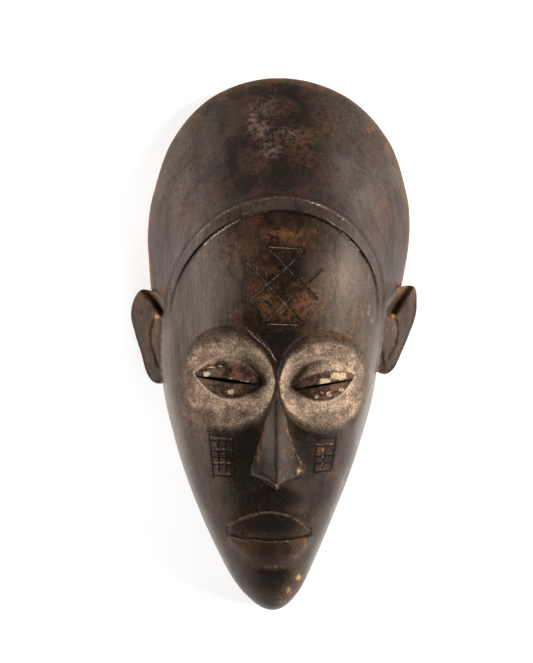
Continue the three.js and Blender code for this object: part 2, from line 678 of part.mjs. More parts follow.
// A cut line: a four-sided bar half sunk in the surface
function cutTool([x0, y0], [x1, y1]) {
  const steps = Math.max(1, Math.round(Math.hypot(x1 - x0, y1 - y0) / 10));
  const points = [];
  for (let i = 0; i <= steps; i++) {
    const x = x0 + (x1 - x0) * i / steps;
    const y = y0 + (y1 - y0) * i / steps;
    points.push(new THREE.Vector3(x, y, front(x, y)));
  }
  const section = new THREE.Shape();
  section.moveTo(CUT_WIDTH / 2, 0);
  section.lineTo(0, CUT_DEPTH);
  section.lineTo(-CUT_WIDTH / 2, 0);
  section.lineTo(0, -CUT_DEPTH);
  const path = new THREE.CatmullRomCurve3(points);
  const bar = new THREE.ExtrudeGeometry(section, { steps, extrudePath: path, bevelEnabled: false });
  return geometryToManifold(bar);
}

// The marks on a cheek are a leaning grid of short cuts
function cheekCuts({ corner, width, height, columns, rows, lean }) {
  const at = (across, down) => {
    const y = corner[1] - height * down;
    return [corner[0] + width * across + lean * (y - corner[1]), y];
  };
  const lines = [];
  for (let i = 0; i <= columns; i++) lines.push([at(i / columns, 0), at(i / columns, 1)]);
  for (let j = 0; j <= rows; j++) lines.push([at(0, j / rows), at(1, j / rows)]);
  return lines;
}

let mask = headSolid();
for (const ear of EARS) mask = mask.add(earSolid(ear));
for (const eye of EYES) mask = mask.subtract(slitTool(eye));
for (const [from, to] of [...CROSS, ...CHEEK_MARKS.flatMap(cheekCuts)]) mask = mask.subtract(cutTool(from, to));

const carved = mask.getMesh();
const geometry = new THREE.BufferGeometry();
geometry.setAttribute("position", new THREE.BufferAttribute(Float32Array.from(carved.vertProperties), 3));
geometry.setIndex(Array.from(carved.triVerts));
geometry.computeVertexNormals();

const darkWood = new THREE.MeshStandardMaterial({
  color: 0x5c4e43,
  roughness: 0.45,
  metalness: 0,
  flatShading: true,
});
const solid = new THREE.Mesh(geometry, darkWood);
solid.name = "mask";

const model = new THREE.Group();
model.add(solid);
export default model;
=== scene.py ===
# A carved wooden face mask with a tall flared coiffure, lying on its back rim.
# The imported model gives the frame. This script carves the same surface finely, from the same
# driving sizes as the model, with the incised marks and chips on it, and gives it its stained
# wood, worn edges and rubbed white kaolin. Shapes are in millimetres until the mesh is made,
# which is in metres.
import math
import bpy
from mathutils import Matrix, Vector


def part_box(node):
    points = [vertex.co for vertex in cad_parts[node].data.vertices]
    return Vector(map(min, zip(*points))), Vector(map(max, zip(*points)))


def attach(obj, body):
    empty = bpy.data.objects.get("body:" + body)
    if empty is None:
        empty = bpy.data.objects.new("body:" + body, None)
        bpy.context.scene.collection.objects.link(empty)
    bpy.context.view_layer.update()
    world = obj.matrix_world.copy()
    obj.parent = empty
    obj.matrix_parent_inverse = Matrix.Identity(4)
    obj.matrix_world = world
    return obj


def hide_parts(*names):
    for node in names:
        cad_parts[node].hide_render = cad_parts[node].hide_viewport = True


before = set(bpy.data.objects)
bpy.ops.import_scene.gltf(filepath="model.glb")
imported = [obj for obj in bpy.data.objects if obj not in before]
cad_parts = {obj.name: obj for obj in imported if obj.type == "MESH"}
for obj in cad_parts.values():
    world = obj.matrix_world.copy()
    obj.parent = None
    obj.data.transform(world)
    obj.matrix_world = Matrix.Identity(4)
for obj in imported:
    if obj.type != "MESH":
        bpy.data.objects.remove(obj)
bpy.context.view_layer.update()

from types import SimpleNamespace as Sizes

import bpy
import numpy as np
from mathutils import Vector, kdtree
from mathutils.geometry import delaunay_2d_cdt

MASK_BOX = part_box("mask")
MM = 0.001

# Driving sizes, as in the model's source
HALF_HEIGHT = 180
RIM_HEIGHT = 12
RIM_WIDTH = 11
RIM_CHAMFER = 1.2
WALL = 17
CENTRE_Y = 25

# The outline's half width at each height, and how far the carver's axis strays
HALF_WIDTH = [
    (-173, 13.6), (-165, 20.6), (-149, 29.6), (-132, 37.5), (-112, 46), (-96, 52.4), (-64, 63),
    (-27, 71.7), (3, 74.2), (22, 75.2), (30, 79.6), (37, 84.2), (50, 86.3), (75, 88.6), (90, 87.8),
    (108, 84), (130, 77), (147.5, 66.4), (164, 50), (174, 31.5),
]
SKEW = [(-180, -1), (-149, -3.7), (-110, -4.5), (-27, -3.4), (22, 0), (60, 2.6), (130, 4.4), (180, 3.4)]

# The face's own dome: its half width under the coiffure, its height and how square it is
FACE_WIDTH_ABOVE = [(22, 75.2), (40, 78), (60, 81), (90, 83), (180, 84)]
FACE_TOP = 12
CORE = [
    (-180, 62), (-160, 69), (-140, 75), (-120, 79), (-100, 82.5), (-60, 86.5), (-25, 89.5), (0, 94),
    (20, 98), (45, 101.5), (66, 100), (80, 96.5), (90, 92.5), (100, 88), (180, 70),
]
SIDE_POWER = 2.25
CHIN_POWER = 2.3
CHIN_FROM = -96

HOLLOW_Y = (-160, 169)
HOLLOW_POWER = Sizes(side=2.2, crown=-0.75, chin=0.8)
HOLLOW_FOLLOWS = Sizes(start=-132, end=150, skip_from=10, skip_to=55)

# The band lies between two ellipses. Each of its parts sets in between two heights.
BAND_OUTER = Sizes(y=25, a=72, b=73.2)
BAND_INNER = Sizes(y=18, a=70, b=70.8)
BAND_AXIS = (20, 98)
BAND_SETS_IN = Sizes(rise=(12, 40), coiffure=(14, 34), groove=(8, 38))
BAND_RISE = 2.8
BAND_GROOVE = 1.4
BAND_NARROWEST = 0.8
BAND_FLATTENS = Sizes(width=6, least=0.4)
GROOVE_REACH = 1.4
BAND_WALL = Sizes(width=1.4, share=0.6)
COIFFURE_DROP = 3
DROP_WIDTH = 1.6
FLARE_POWER = 0.92

SOCKETS = [
    Sizes(side=-1, x=-31, y=-23.3, a=33.2, b=36.2),
    Sizes(side=1, x=33.8, y=-25.2, a=31.8, b=34.6),
]
SOCKET_DEPTH = 7.8
SOCKET_WALL = Sizes(power=3, crisp=5, nose=1.5, outside=0.8)
SOCKET_TILT = Sizes(crisp=0.45, nose=0.4, outside=0.4)
CRISP_BROW = Sizes(strength=1.3, share=0.62)
EYES = [
    Sizes(start=(-53.7, -19.6), end=(-6.6, -27.2), up=15.6, down=13.6,
          slit=((-52, -21.5), (-11.2, -27)), gap=2.6),
    Sizes(start=(12, -28.8), end=(54.8, -20.6), up=14.5, down=13.8,
          slit=((13.9, -30.4), (53.3, -23.7)), gap=1.6),
]
EYE_RISE = 8.2
EYE_ROUNDNESS = Sizes(along=0.6, across=0.62)
SLIT_CUT = (40, 120)

# Nose: ridge height, half width and edge height from the tip up to the bridge
NOSE_X = 1.7
NOSE_TIP = -96.3
NOSE_TOP = -14
NOSE_RIDGE = [(-98.5, 20.5), (-90, 18.5), (-75, 13), (-60, 8.2), (-45, 4.4), (-30, 2), (-14, 0)]
NOSE_WIDTH = [
    (-96.3, 15.4), (-88, 15.4), (-84, 14.9), (-78.5, 12.7), (-71.7, 10.3), (-65, 8.4), (-58.2, 6.5),
    (-51.4, 5.2), (-41.3, 3.1), (-25, 2), (-14, 1.6),
]
NOSE_SIDES = (1.07, 0.94)
NOSE_EDGE = [(-98.5, 8.5), (-88, 8), (-76, 5.2), (-60, 2.6), (-45, 0.8), (-30, 0), (-14, 0)]
NOSE_WALL = 2
NOSE_UNDER = 2.2
NOSTRIL_RISE = 9.2
NOSTRIL_REACH = 16.5
NOSTRIL_POWER = 0.56

MOUTH = Sizes(x=-2.6, half=28, line=-131, top=-112.3, bottom=-150.6)
MOUTH_ENDS = (0.93, 1.04)
MOUTH_BEND = Sizes(line=3.2, top=10.5, bottom=17, corner=2)
MOUTH_STEP = Sizes(rise=1.5, width=0.8, fades=0.7)
LIP_RISE = 3.6
LIP_EDGE = 2
LIP_FLATTENS = 0.25
LOWER_LIP_RISE = 2.6
LOWER_LIP_TURN = 0.9
LOWER_LIP_EDGE = 2.4
LOWER_LIP_SOFT = (-0.6, 3.6)

CHEEK_HOLLOW = Sizes(depth=4.2, middles=(-19, 23), y=-80, width=22, height=28, fall=1.6)
UNDER_NOSE = Sizes(depth=2, y=-104, width=16, height=7)
HOLLOW_MEETS_SOCKET = (0.98, 1.12)

# Each ear has a slot cut between its front ridge and the head, and a faint crease below it
EARS = [
    Sizes(
        outline=[(-71, 30), (-82.8, 36), (-90, 36.6), (-94.6, 30.6), (-96.77, 20), (-94.2, 8),
                 (-89.6, -7), (-86, -19.4), (-81.6, -25.6), (-74.7, -26.3), (-68, -19), (-69.5, 8)],
        slot=[(-87.5, 37), (-80.5, 30.3), (-75.1, 21.7)], slot_width=2,
        crease=[(-80.5, 15.5), (-82.6, 8.4), (-82.5, 0.5), (-79.5, -8.5), (-77.6, -15)],
    ),
    Sizes(
        outline=[(71, 31), (84, 38.6), (94.6, 38.8), (96.77, 31), (95.6, 18.8), (90.8, 5.4),
                 (85.5, -7.1), (80.4, -17), (74.4, -20.4), (66, -15), (69, 8)],
        slot=[(91.4, 40), (85.3, 31.1), (79.6, 22)], slot_width=2.6,
        crease=[(80.8, 18), (82.6, 14), (83, 8), (81, -0.5), (76.5, -9)],
    ),
]
EAR_REACH = 96.77
EAR_FRONT = Sizes(edge=17, slope=0.55)
EAR_BACK = Sizes(edge=5, slope=0.3)
EAR_ROUNDING = Sizes(depth=2, power=8)
EAR_CREASE = Sizes(depth=0.7, width=1.2)
SLOT_DEPTH = 6

# The cross on the forehead and the marks in each cheek, as cut lines
CROSS = [
    ((-3, 63.4), (28.2, 30.6)), ((-17.9, 54.3), (19.6, 13.5)), ((20.1, 61.4), (-17.9, 27.7)),
    ((31.5, 49.6), (-5.1, 15.4)), ((-3.2, 64.8), (20.1, 63.4)), ((-3.7, 13.5), (17.3, 12.6)),
    ((-17.9, 54.3), (-20.8, 28.7)),
]
CHEEK_CUTS = [
    # left cheek: uprights, then rungs
    ((-43.3, -60.5), (-40.3, -89.3)), ((-37.2, -66.3), (-36.5, -84.6)), ((-31.9, -66.3), (-31.9, -84.6)),
    ((-27.7, -61.6), (-26.1, -87.3)),
    ((-43.3, -60.5), (-27.1, -61.6)), ((-43, -64.3), (-27.1, -65.3)), ((-42.6, -71.4), (-27, -72.1)),
    ((-42, -75.5), (-26.7, -76.2)), ((-41.6, -80.5), (-26.4, -81.1)), ((-40.6, -87.9), (-26.1, -88.6)),
    # right cheek: uprights, then rungs
    ((27.9, -68.8), (26.4, -85.4)), ((41.4, -62.6), (37.6, -83.6)), ((33.6, -66.3), (32.4, -84.2)),
    ((27.9, -63.6), (41.4, -62.6)), ((27.9, -68.8), (40.6, -68.4)), ((27.3, -75.2), (39.4, -74.6)),
    ((26.7, -80.2), (38.2, -79.4)), ((26.4, -85.9), (37.6, -84.9)),
]
CUT_HALF_WIDTH = 0.55
CUT_DEPTH = 0.8
CHEEK_CUT_DEPTH = 0.5

# Chips out of the wood: middle, half sizes and depth
CHIPS = [
    (16.4, -157, 2.6, 3.2, 0.7), (10.2, -166, 2, 3.4, 0.6), (4.4, -175.3, 2, 1.6, 0.4),
    (16, -87, 2.2, 1.6, 0.7), (-88.5, 21.5, 1.4, 2.4, 0.4), (81.6, 19.2, 1.4, 1.6, 0.4),
]
CHIP_STEEPNESS = 1.6

# The front's mesh: fine over the features and wider on the plain wood
FINE_SPACING = 0.78
FINE_BOXES = [
    (-68, -64, 69, 16), (-25, -108, 28, -60), (-47, -93, -23, -57), (23, -90, 45, -59),
    (-36, -158, 32, -106), (-25, 9, 36, 69),
]
ROW_STEP = math.sqrt(0.75)
LAYOUT_HALF_WIDTH = 100
OUTLINE_POINTS = 540
OUTLINE_STEPS = 900
OUTLINE_MARGIN = 0.5
EDGE_OFFSETS = (0.01, 0.04, 0.1, 0.19, 0.31, 0.47, 0.68, 0.95, 1.3, 1.75, 2.3, 3, 3.9)
CLEAR_OF_LINES = 0.45
CLEAR_OF_EDGE = 0.4
MERGED_WITHIN = 1e-4

# The lines that the front's mesh follows: how many points each has, and where some of them end
LINE_POINTS = Sizes(band=420, socket=240, eye=61, nose=90, nose_base=45, mouth=75)
BAND_LINES_FROM = 10
NOSE_SIDES_FROM = 9
NOSE_BASE_HALF = 19
MOUTH_LINE_SHARE = 0.99
CUT_STEP = 1.6

# Rows of points round the rim's wall, its underside, the hollow, the ears and the slits
WALL_ROWS = (0.15, 0.35, 0.55, 0.75, 0.9, 1)
RIM_ROWS = (0.75, 0.5, 0.25, 0)
HOLLOW_RINGS = 30
HOLLOW_SPREAD = 1.15
EAR_SECTORS = 132
EAR_RINGS = 26
EAR_SIDE_ROWS = (0.06, 0.2, 0.4, 0.6, 0.8, 1)
EAR_BACK_RINGS = (0.75, 0.4)
SLIT_POINTS = 40
SHARP_ANGLE = 32


def cubic(t, start, leave, end, arrive):
    """A cubic from start to end that leaves and arrives at these rates."""
    return ((1 + 2 * t) * (1 - t) ** 2 * start + t * (1 - t) ** 2 * leave
            + t * t * (3 - 2 * t) * end + t * t * (t - 1) * arrive)


def curve_through(knots):
    """A smooth curve through knots, without overshoot."""
    xs, ys = np.array(knots, float).T
    run = np.diff(xs)
    rise = np.diff(ys) / run
    slope = np.zeros(len(xs))
    slope[0] = rise[0]
    slope[-1] = rise[-1]
    for i in range(1, len(xs) - 1):
        before, after = rise[i - 1], rise[i]
        if before * after > 0:
            weighted = (2 * run[i] + run[i - 1]) / before + (run[i] + 2 * run[i - 1]) / after
            slope[i] = 3 * (run[i - 1] + run[i]) / weighted

    def value(x):
        at = np.clip(x, xs[0], xs[-1])
        i = np.clip(np.searchsorted(xs, at) - 1, 0, len(xs) - 2)
        t = (at - xs[i]) / run[i]
        return cubic(t, ys[i], run[i] * slope[i], ys[i + 1], run[i] * slope[i + 1])
    return value


def smooth(start, end, x):
    """From 0 to 1 as x goes from start to end."""
    t = np.clip((x - start) / (end - start), 0, 1)
    return t * t * (3 - 2 * t)


def width_through(knots, least=0):
    """A half width that closes as a round end, so its square is what the curve runs through."""
    squared = curve_through(knots)
    return lambda y: np.sqrt(np.maximum(squared(y), least))


half_width = width_through(
    [(-HALF_HEIGHT, 0)] + [(y, w * w) for y, w in HALF_WIDTH] + [(HALF_HEIGHT, 0)])
face_width = width_through(
    [(-HALF_HEIGHT, 0)] + [(y, w * w) for y, w in HALF_WIDTH if y < FACE_TOP]
    + [(y, w * w) for y, w in FACE_WIDTH_ABOVE], least=1e-9)
hollow_width = width_through(
    [(HOLLOW_Y[0], 0)]
    + [(y, (w - RIM_WIDTH) ** 2) for y, w in HALF_WIDTH
       if HOLLOW_FOLLOWS.start <= y <= HOLLOW_FOLLOWS.end
       and not HOLLOW_FOLLOWS.skip_from <= y <= HOLLOW_FOLLOWS.skip_to]
    + [(HOLLOW_Y[1], 0)])
skew = curve_through(SKEW)
core = curve_through(CORE)
nose_ridge = curve_through(NOSE_RIDGE)
nose_width = curve_through(NOSE_WIDTH)
nose_edge = curve_through(NOSE_EDGE)


def closed_outline(width, low, high):
    """Points round a closed outline that is given by its half width from low to high."""
    angle = np.pi * np.arange(OUTLINE_STEPS) / OUTLINE_STEPS
    right = (low + high - (high - low) * np.cos(angle)) / 2
    left = (low + high + (high - low) * np.cos(angle)) / 2
    y = np.concatenate([right, left])
    side = np.repeat([1, -1], OUTLINE_STEPS)
    return np.column_stack([skew(y) + side * width(y), y])


def radius_of(width, low, high):
    """A closed outline as a radius around the forehead's middle."""
    x, y = closed_outline(width, low, high).T
    angle = np.arctan2(x, y - CENTRE_Y)
    radius = np.hypot(x, y - CENTRE_Y)
    return lambda turn: np.interp(turn, angle, radius, period=2 * np.pi)


outer_radius = radius_of(half_width, -HALF_HEIGHT, HALF_HEIGHT)
inner_radius = radius_of(hollow_width, *HOLLOW_Y)


def face(x, y):
    """The dome of the face, before anything is cut into it."""
    across = np.clip(np.abs(x - skew(y)) / face_width(y), 0, 1)
    down = np.clip((CHIN_FROM - y) / (CHIN_FROM + HALF_HEIGHT), 0, 1)
    side = (1 - across ** SIDE_POWER) ** (1 / SIDE_POWER)
    chin = (1 - down ** CHIN_POWER) ** (1 / CHIN_POWER)
    return RIM_HEIGHT + (core(y) - RIM_HEIGHT) * side * chin


def band_middle(y):
    return skew(np.clip(y, *BAND_AXIS))


def band_reach(ellipse, x, y):
    """How far out a point lies from the middle of one of the band's ellipses; 1 is on it."""
    return np.hypot((x - band_middle(y)) / ellipse.a, (y - ellipse.y) / ellipse.b)


def past_band(ellipse, x, y):
    """About how many millimetres a point lies outside one of the band's ellipses."""
    return (band_reach(ellipse, x, y) - 1) * ellipse.a


def coiffure(x, y, reach):
    """The coiffure flares from the band's outer edge down to the rim."""
    reach = np.maximum(reach, 1)
    radius = np.hypot(x, y - CENTRE_Y)
    start = radius / reach
    end = outer_radius(np.arctan2(x, y - CENTRE_Y))
    t = np.clip((radius - start) / np.maximum(end - start, 1e-3), 0, 1)
    beyond = (reach - 1) * BAND_OUTER.a
    edge_y = CENTRE_Y + (y - CENTRE_Y) / reach
    top = (face(x / reach, edge_y) + BAND_RISE * smooth(*BAND_SETS_IN.rise, edge_y)
           - COIFFURE_DROP * smooth(0, DROP_WIDTH, beyond))
    return top + (RIM_HEIGHT - top) * t ** FLARE_POWER


def head(x, y):
    """The head without its features: face, band and coiffure."""
    dome = face(x, y)
    outer = band_reach(BAND_OUTER, x, y)
    share = smooth(*BAND_SETS_IN.coiffure, y)
    outside = dome * (1 - share) + coiffure(x, y, outer) * share
    past_groove = past_band(BAND_INNER, x, y)
    shown = smooth(*BAND_SETS_IN.groove, y)
    forehead = dome - BAND_GROOVE * np.clip(1 + past_groove / GROOVE_REACH, 0, 1) * shown
    width = np.maximum(past_groove - (outer - 1) * BAND_OUTER.a, BAND_NARROWEST)
    wall = np.clip(past_groove / np.minimum(BAND_WALL.width, width / 2), 0, 1)
    k = BAND_WALL.share * wall + (1 - BAND_WALL.share) * np.clip(past_groove / width, 0, 1)
    flat = np.clip(width / BAND_FLATTENS.width, BAND_FLATTENS.least, 1)
    band = dome + (BAND_RISE * k - BAND_GROOVE * (1 - k)) * shown * flat
    return np.where(outer > 1, outside, np.where(past_groove < 0, forehead, band))


def socket_reach(socket, x, y):
    return np.hypot((x - socket.x) / socket.a, (y - socket.y) / socket.b)


def socket_ways(socket, x, y):
    """How far out a point of a socket lies, how much of that is inward, and how much up."""
    q = np.maximum(socket_reach(socket, x, y), 1e-6)
    inward = -socket.side * (x - socket.x) / socket.a / q
    upward = (y - socket.y) / socket.b / q
    return q, inward, upward


def socket_depth(socket, x, y):
    """An eye socket is a dish, steep under the brow beside the nose and soft on the outside."""
    q, inward, upward = socket_ways(socket, x, y)
    crisp = CRISP_BROW.strength * np.maximum(CRISP_BROW.share * (inward + upward), 0) ** 2
    nose_side = np.maximum(inward, 0) ** 2
    outside = np.maximum(-inward, 0) ** 2
    wall, tilt = SOCKET_WALL, SOCKET_TILT
    power = wall.power + wall.crisp * crisp + wall.nose * nose_side - wall.outside * outside
    scale = 1 + tilt.crisp * crisp + tilt.nose * nose_side - tilt.outside * outside
    return SOCKET_DEPTH * (1 + (scale - 1) * q) * (1 - np.minimum(q, 1) ** power)


def eye_axis(eye):
    """An eye's middle, half length and direction."""
    (x0, y0), (x1, y1) = eye.start, eye.end
    half = math.hypot(x1 - x0, y1 - y0) / 2
    return (x0 + x1) / 2, (y0 + y1) / 2, half, (x1 - x0) / (2 * half), (y1 - y0) / (2 * half)


def along_eye(eye, x, y):
    """Along an eye's length u runs from -1 to 1; v is the distance above its middle line."""
    middle_x, middle_y, half, ux, uy = eye_axis(eye)
    dx, dy = x - middle_x, y - middle_y
    u = (dx * ux + dy * uy) / half
    v = dy * ux - dx * uy
    reach = np.where(v > 0, eye.up, eye.down) * (1 - u * u)
    return u, v, reach


def eye_rise(eye, x, y):
    u, v, reach = along_eye(eye, x, y)
    inside = (np.abs(u) < 1) & (np.abs(v) < reach)
    lens = np.where(inside, 1 - u * u, 0)
    share = np.where(inside, v / np.where(inside, reach, 1), 1)
    return EYE_RISE * lens ** EYE_ROUNDNESS.along * (1 - share ** 2) ** EYE_ROUNDNESS.across


def nose_half(x, y):
    return nose_width(y) * np.where(x < NOSE_X, *NOSE_SIDES)


def nose_base(x):
    reach = np.clip(np.abs(x - NOSE_X) / NOSTRIL_REACH, 0, 1.3)
    return NOSE_TIP + NOSTRIL_RISE * reach ** NOSTRIL_POWER


def nose(x, y):
    """The nose: two planes meeting on a sharp ridge, with short walls down to the cheeks."""
    off = np.abs(x - NOSE_X)
    width = nose_half(x, y)
    under = np.clip(1 - (nose_base(x) - y) / NOSE_UNDER, 0, 1)
    wall = nose_edge(y) * np.clip(1 - (off - width) / NOSE_WALL, 0, 1)
    plane = nose_ridge(y) + (nose_edge(y) - nose_ridge(y)) * off / width
    return np.where(y > NOSE_TOP, 0, np.where(off > width, wall, plane) * under)


def mouth_lines(x):
    """How far a point is from the mouth's middle, and the heights of the lips' three lines."""
    u = np.clip(np.abs(x - MOUTH.x) / MOUTH.half, 0, MOUTH_ENDS[1])
    line = MOUTH.line + MOUTH_BEND.line * u * u
    top = MOUTH.top - MOUTH_BEND.top * u ** 1.7
    bottom = MOUTH.bottom + MOUTH_BEND.bottom * u ** 1.6 + MOUTH_BEND.corner * u ** 8
    return u, line, top, bottom


def mouth(x, y):
    """The upper lip slopes in to the mouth line, where the lower lip stands a step higher."""
    u, line, top, bottom = mouth_lines(x)
    shown = (1 - smooth(*MOUTH_ENDS, u)) * (1 - LIP_FLATTENS * u * u)
    up = np.maximum(y - line, 0) / (top - line)
    upper = np.where(up < 1, LIP_RISE * np.minimum(up, 1) ** 0.9,
                     LIP_RISE * np.clip(1 - (y - top) / LIP_EDGE, 0, 1))
    down = np.clip((line - y) / (line - bottom), 0, 1)
    step = MOUTH_STEP.rise * np.clip((line - y) / MOUTH_STEP.width, 0, 1)
    bulge = LOWER_LIP_RISE * np.sin(LOWER_LIP_TURN * np.pi * down ** 0.9)
    lower = (step * (1 - MOUTH_STEP.fades * down) + bulge) * (1 - smooth(*LOWER_LIP_SOFT, bottom - y))
    return np.where(y > line, upper, lower) * shown


def cheek_hollow(x, y):
    """The cheeks are hollowed beside the nose and under it, up to the sockets' lower edges."""
    cheek, under = CHEEK_HOLLOW, UNDER_NOSE
    nearest = np.minimum(*[socket_reach(socket, x, y) for socket in SOCKETS])
    down = ((y - cheek.y) / cheek.height) ** 2
    beside = sum(cheek.depth * np.exp(-cheek.fall * (((x - middle) / cheek.width) ** 2 + down))
                 for middle in cheek.middles)
    under_nose = under.depth * np.exp(-(((x - NOSE_X) / under.width) ** 2)
                                         - ((y - under.y) / under.height) ** 2)
    return (beside + under_nose) * smooth(*HOLLOW_MEETS_SOCKET, nearest)


def distance_to(line, x, y):
    """The distance from points to a line of straight runs."""
    nearest = np.full(np.shape(x), 1e9)
    for (x0, y0), (x1, y1) in zip(line[:-1], line[1:]):
        length = max((x1 - x0) ** 2 + (y1 - y0) ** 2, 1e-9)
        t = np.clip(((x - x0) * (x1 - x0) + (y - y0) * (y1 - y0)) / length, 0, 1)
        nearest = np.minimum(nearest, np.hypot(x - x0 - t * (x1 - x0), y - y0 - t * (y1 - y0)))
    return nearest


def nearest_of(cuts, x, y):
    return np.min([distance_to(cut, x, y) for cut in cuts], axis=0)


def cut_depth(x, y):
    """The incised lines, as narrow V cuts."""
    cross, cheeks = (deep * np.clip(1 - nearest_of(cuts, x, y) / CUT_HALF_WIDTH, 0, 1)
                     for cuts, deep in ((CROSS, CUT_DEPTH), (CHEEK_CUTS, CHEEK_CUT_DEPTH)))
    return np.maximum(cross, cheeks)


def chip_depth(x, y):
    depth = np.zeros(np.shape(x))
    for cx, cy, a, b, deep in CHIPS:
        reach = np.hypot((x - cx) / a, (y - cy) / b)
        depth = np.maximum(depth, deep * np.clip(CHIP_STEEPNESS * (1 - reach), 0, 1))
    return depth


def front(x, y):
    """The height of the carved front."""
    socket = np.maximum(*[socket_depth(each, x, y) for each in SOCKETS])
    eyes = eye_rise(EYES[0], x, y) + eye_rise(EYES[1], x, y)
    return (head(x, y) - socket - cheek_hollow(x, y) + eyes + nose(x, y) + mouth(x, y)
            - cut_depth(x, y) - chip_depth(x, y))


def hollow(y, rho, turn):
    """The height of the hollow inside."""
    up = np.cos(turn)
    end = np.where(up > 0, HOLLOW_POWER.crown, HOLLOW_POWER.chin)
    power = HOLLOW_POWER.side + rho * up * up * end
    return (core(y) - WALL) * (1 - rho ** power) ** (1 / power)


def ellipse_line(middle, y, a, b, count, lowest=-HALF_HEIGHT):
    """Points round an ellipse, whose middle may lean with the height."""
    angle = np.linspace(0, 2 * np.pi, count + 1) - np.pi / 2
    py = y + b * np.sin(angle)
    px = middle(py) + a * np.cos(angle)
    return np.column_stack([px, py])[py > lowest]


def band_lines():
    for ellipse, off in ((BAND_OUTER, 0), (BAND_OUTER, DROP_WIDTH), (BAND_INNER, 0),
                         (BAND_INNER, -GROOVE_REACH), (BAND_INNER, BAND_WALL.width)):
        reach = 1 + off / ellipse.a
        yield ellipse_line(band_middle, ellipse.y, ellipse.a * reach, ellipse.b * reach,
                           LINE_POINTS.band, lowest=BAND_LINES_FROM)


def eye_lines():
    for socket in SOCKETS:
        yield ellipse_line(lambda y: socket.x, socket.y, socket.a, socket.b,
                           LINE_POINTS.socket)
    for eye in EYES:
        x, y, half, ux, uy = eye_axis(eye)
        u = np.linspace(-1, 1, LINE_POINTS.eye)
        for reach in (eye.up, 0, -eye.down):
            v = reach * (1 - u * u)
            yield np.column_stack([x + half * u * ux - v * uy, y + half * u * uy + v * ux])


def nose_lines():
    y = np.linspace(NOSE_TIP, NOSE_TOP, LINE_POINTS.nose)
    yield np.column_stack([np.full(len(y), NOSE_X), y])
    low = y[y > NOSE_TIP + NOSE_SIDES_FROM]
    for side in (-1, 1):
        for wall in (0, NOSE_WALL):
            half = nose_half(NOSE_X + side, low) + wall
            yield np.column_stack([NOSE_X + side * half, low])
    x = NOSE_X + np.linspace(-NOSE_BASE_HALF, NOSE_BASE_HALF, LINE_POINTS.nose_base)
    for below in (0, NOSE_UNDER):
        yield np.column_stack([x, nose_base(x) - below])


def lip_lines():
    x = MOUTH.x + np.linspace(-1, 1, LINE_POINTS.mouth) * MOUTH.half * MOUTH_LINE_SHARE
    _, line, top, bottom = mouth_lines(x)
    for y in (line, line - MOUTH_STEP.width, top, bottom, top + LIP_EDGE, bottom - LOWER_LIP_EDGE):
        yield np.column_stack([x, y])


def cut_lines():
    for (x0, y0), (x1, y1) in CROSS + CHEEK_CUTS:
        length = math.hypot(x1 - x0, y1 - y0)
        across = np.array([y0 - y1, x1 - x0]) / length * CUT_HALF_WIDTH
        t = np.linspace(0, 1, max(2, round(length / CUT_STEP)))[:, None]
        along = np.array([x0, y0]) * (1 - t) + np.array([x1, y1]) * t
        yield from (along, along + across, along - across)


def outline_ring():
    """Points round the outline at even steps, and the inward direction at each."""
    loop = closed_outline(half_width, -HALF_HEIGHT, HALF_HEIGHT)
    closed = np.vstack([loop, loop[:1]])
    run = np.concatenate([[0], np.cumsum(np.hypot(*np.diff(closed, axis=0).T))])
    at = np.linspace(0, run[-1], OUTLINE_POINTS, endpoint=False)
    ring = np.column_stack([np.interp(at, run, closed[:, 0]), np.interp(at, run, closed[:, 1])])
    ahead = np.roll(ring, -1, axis=0) - np.roll(ring, 1, axis=0)
    ahead /= np.hypot(*ahead.T)[:, None]
    return ring, np.column_stack([-ahead[:, 1], ahead[:, 0]])


def plain_points():
    """An even triangular layout, with every second point left out on plain wood."""
    rows = np.arange(round(2 * HALF_HEIGHT / (FINE_SPACING * ROW_STEP)) + 1)
    columns = np.arange(round(2 * LAYOUT_HALF_WIDTH / FINE_SPACING))
    column, row = [a.ravel() for a in np.meshgrid(columns, rows)]
    x = -LAYOUT_HALF_WIDTH + (column + 0.5 * (row % 2)) * FINE_SPACING
    y = -HALF_HEIGHT + row * FINE_SPACING * ROW_STEP
    fine = np.zeros(len(x), bool)
    for x0, y0, x1, y1 in FINE_BOXES:
        fine |= (x > x0) & (x < x1) & (y > y0) & (y < y1)
    coarse = (row % 2 == 0) & ((column + (row // 2) % 2) % 2 == 0)
    kept = (fine | coarse) & (np.abs(x - skew(y)) < half_width(y) - OUTLINE_MARGIN)
    return np.column_stack([x, y])[kept]


def clear_points(inmost, inward, lines):
    """The plain points that lie inside the outline's inmost ring and clear of the lines."""
    fixed = np.vstack([inmost] + lines)
    near = kdtree.KDTree(len(fixed))
    for i, (x, y) in enumerate(fixed):
        near.insert((x, y, 0), i)
    near.balance()
    clear = []
    for point in plain_points():
        _, i, distance = near.find((*point, 0))
        on_ring = i < len(inmost)
        if distance >= CLEAR_OF_LINES and not (on_ring and (point - inmost[i]) @ inward[i] < CLEAR_OF_EDGE):
            clear.append(point)
    return np.array(clear)


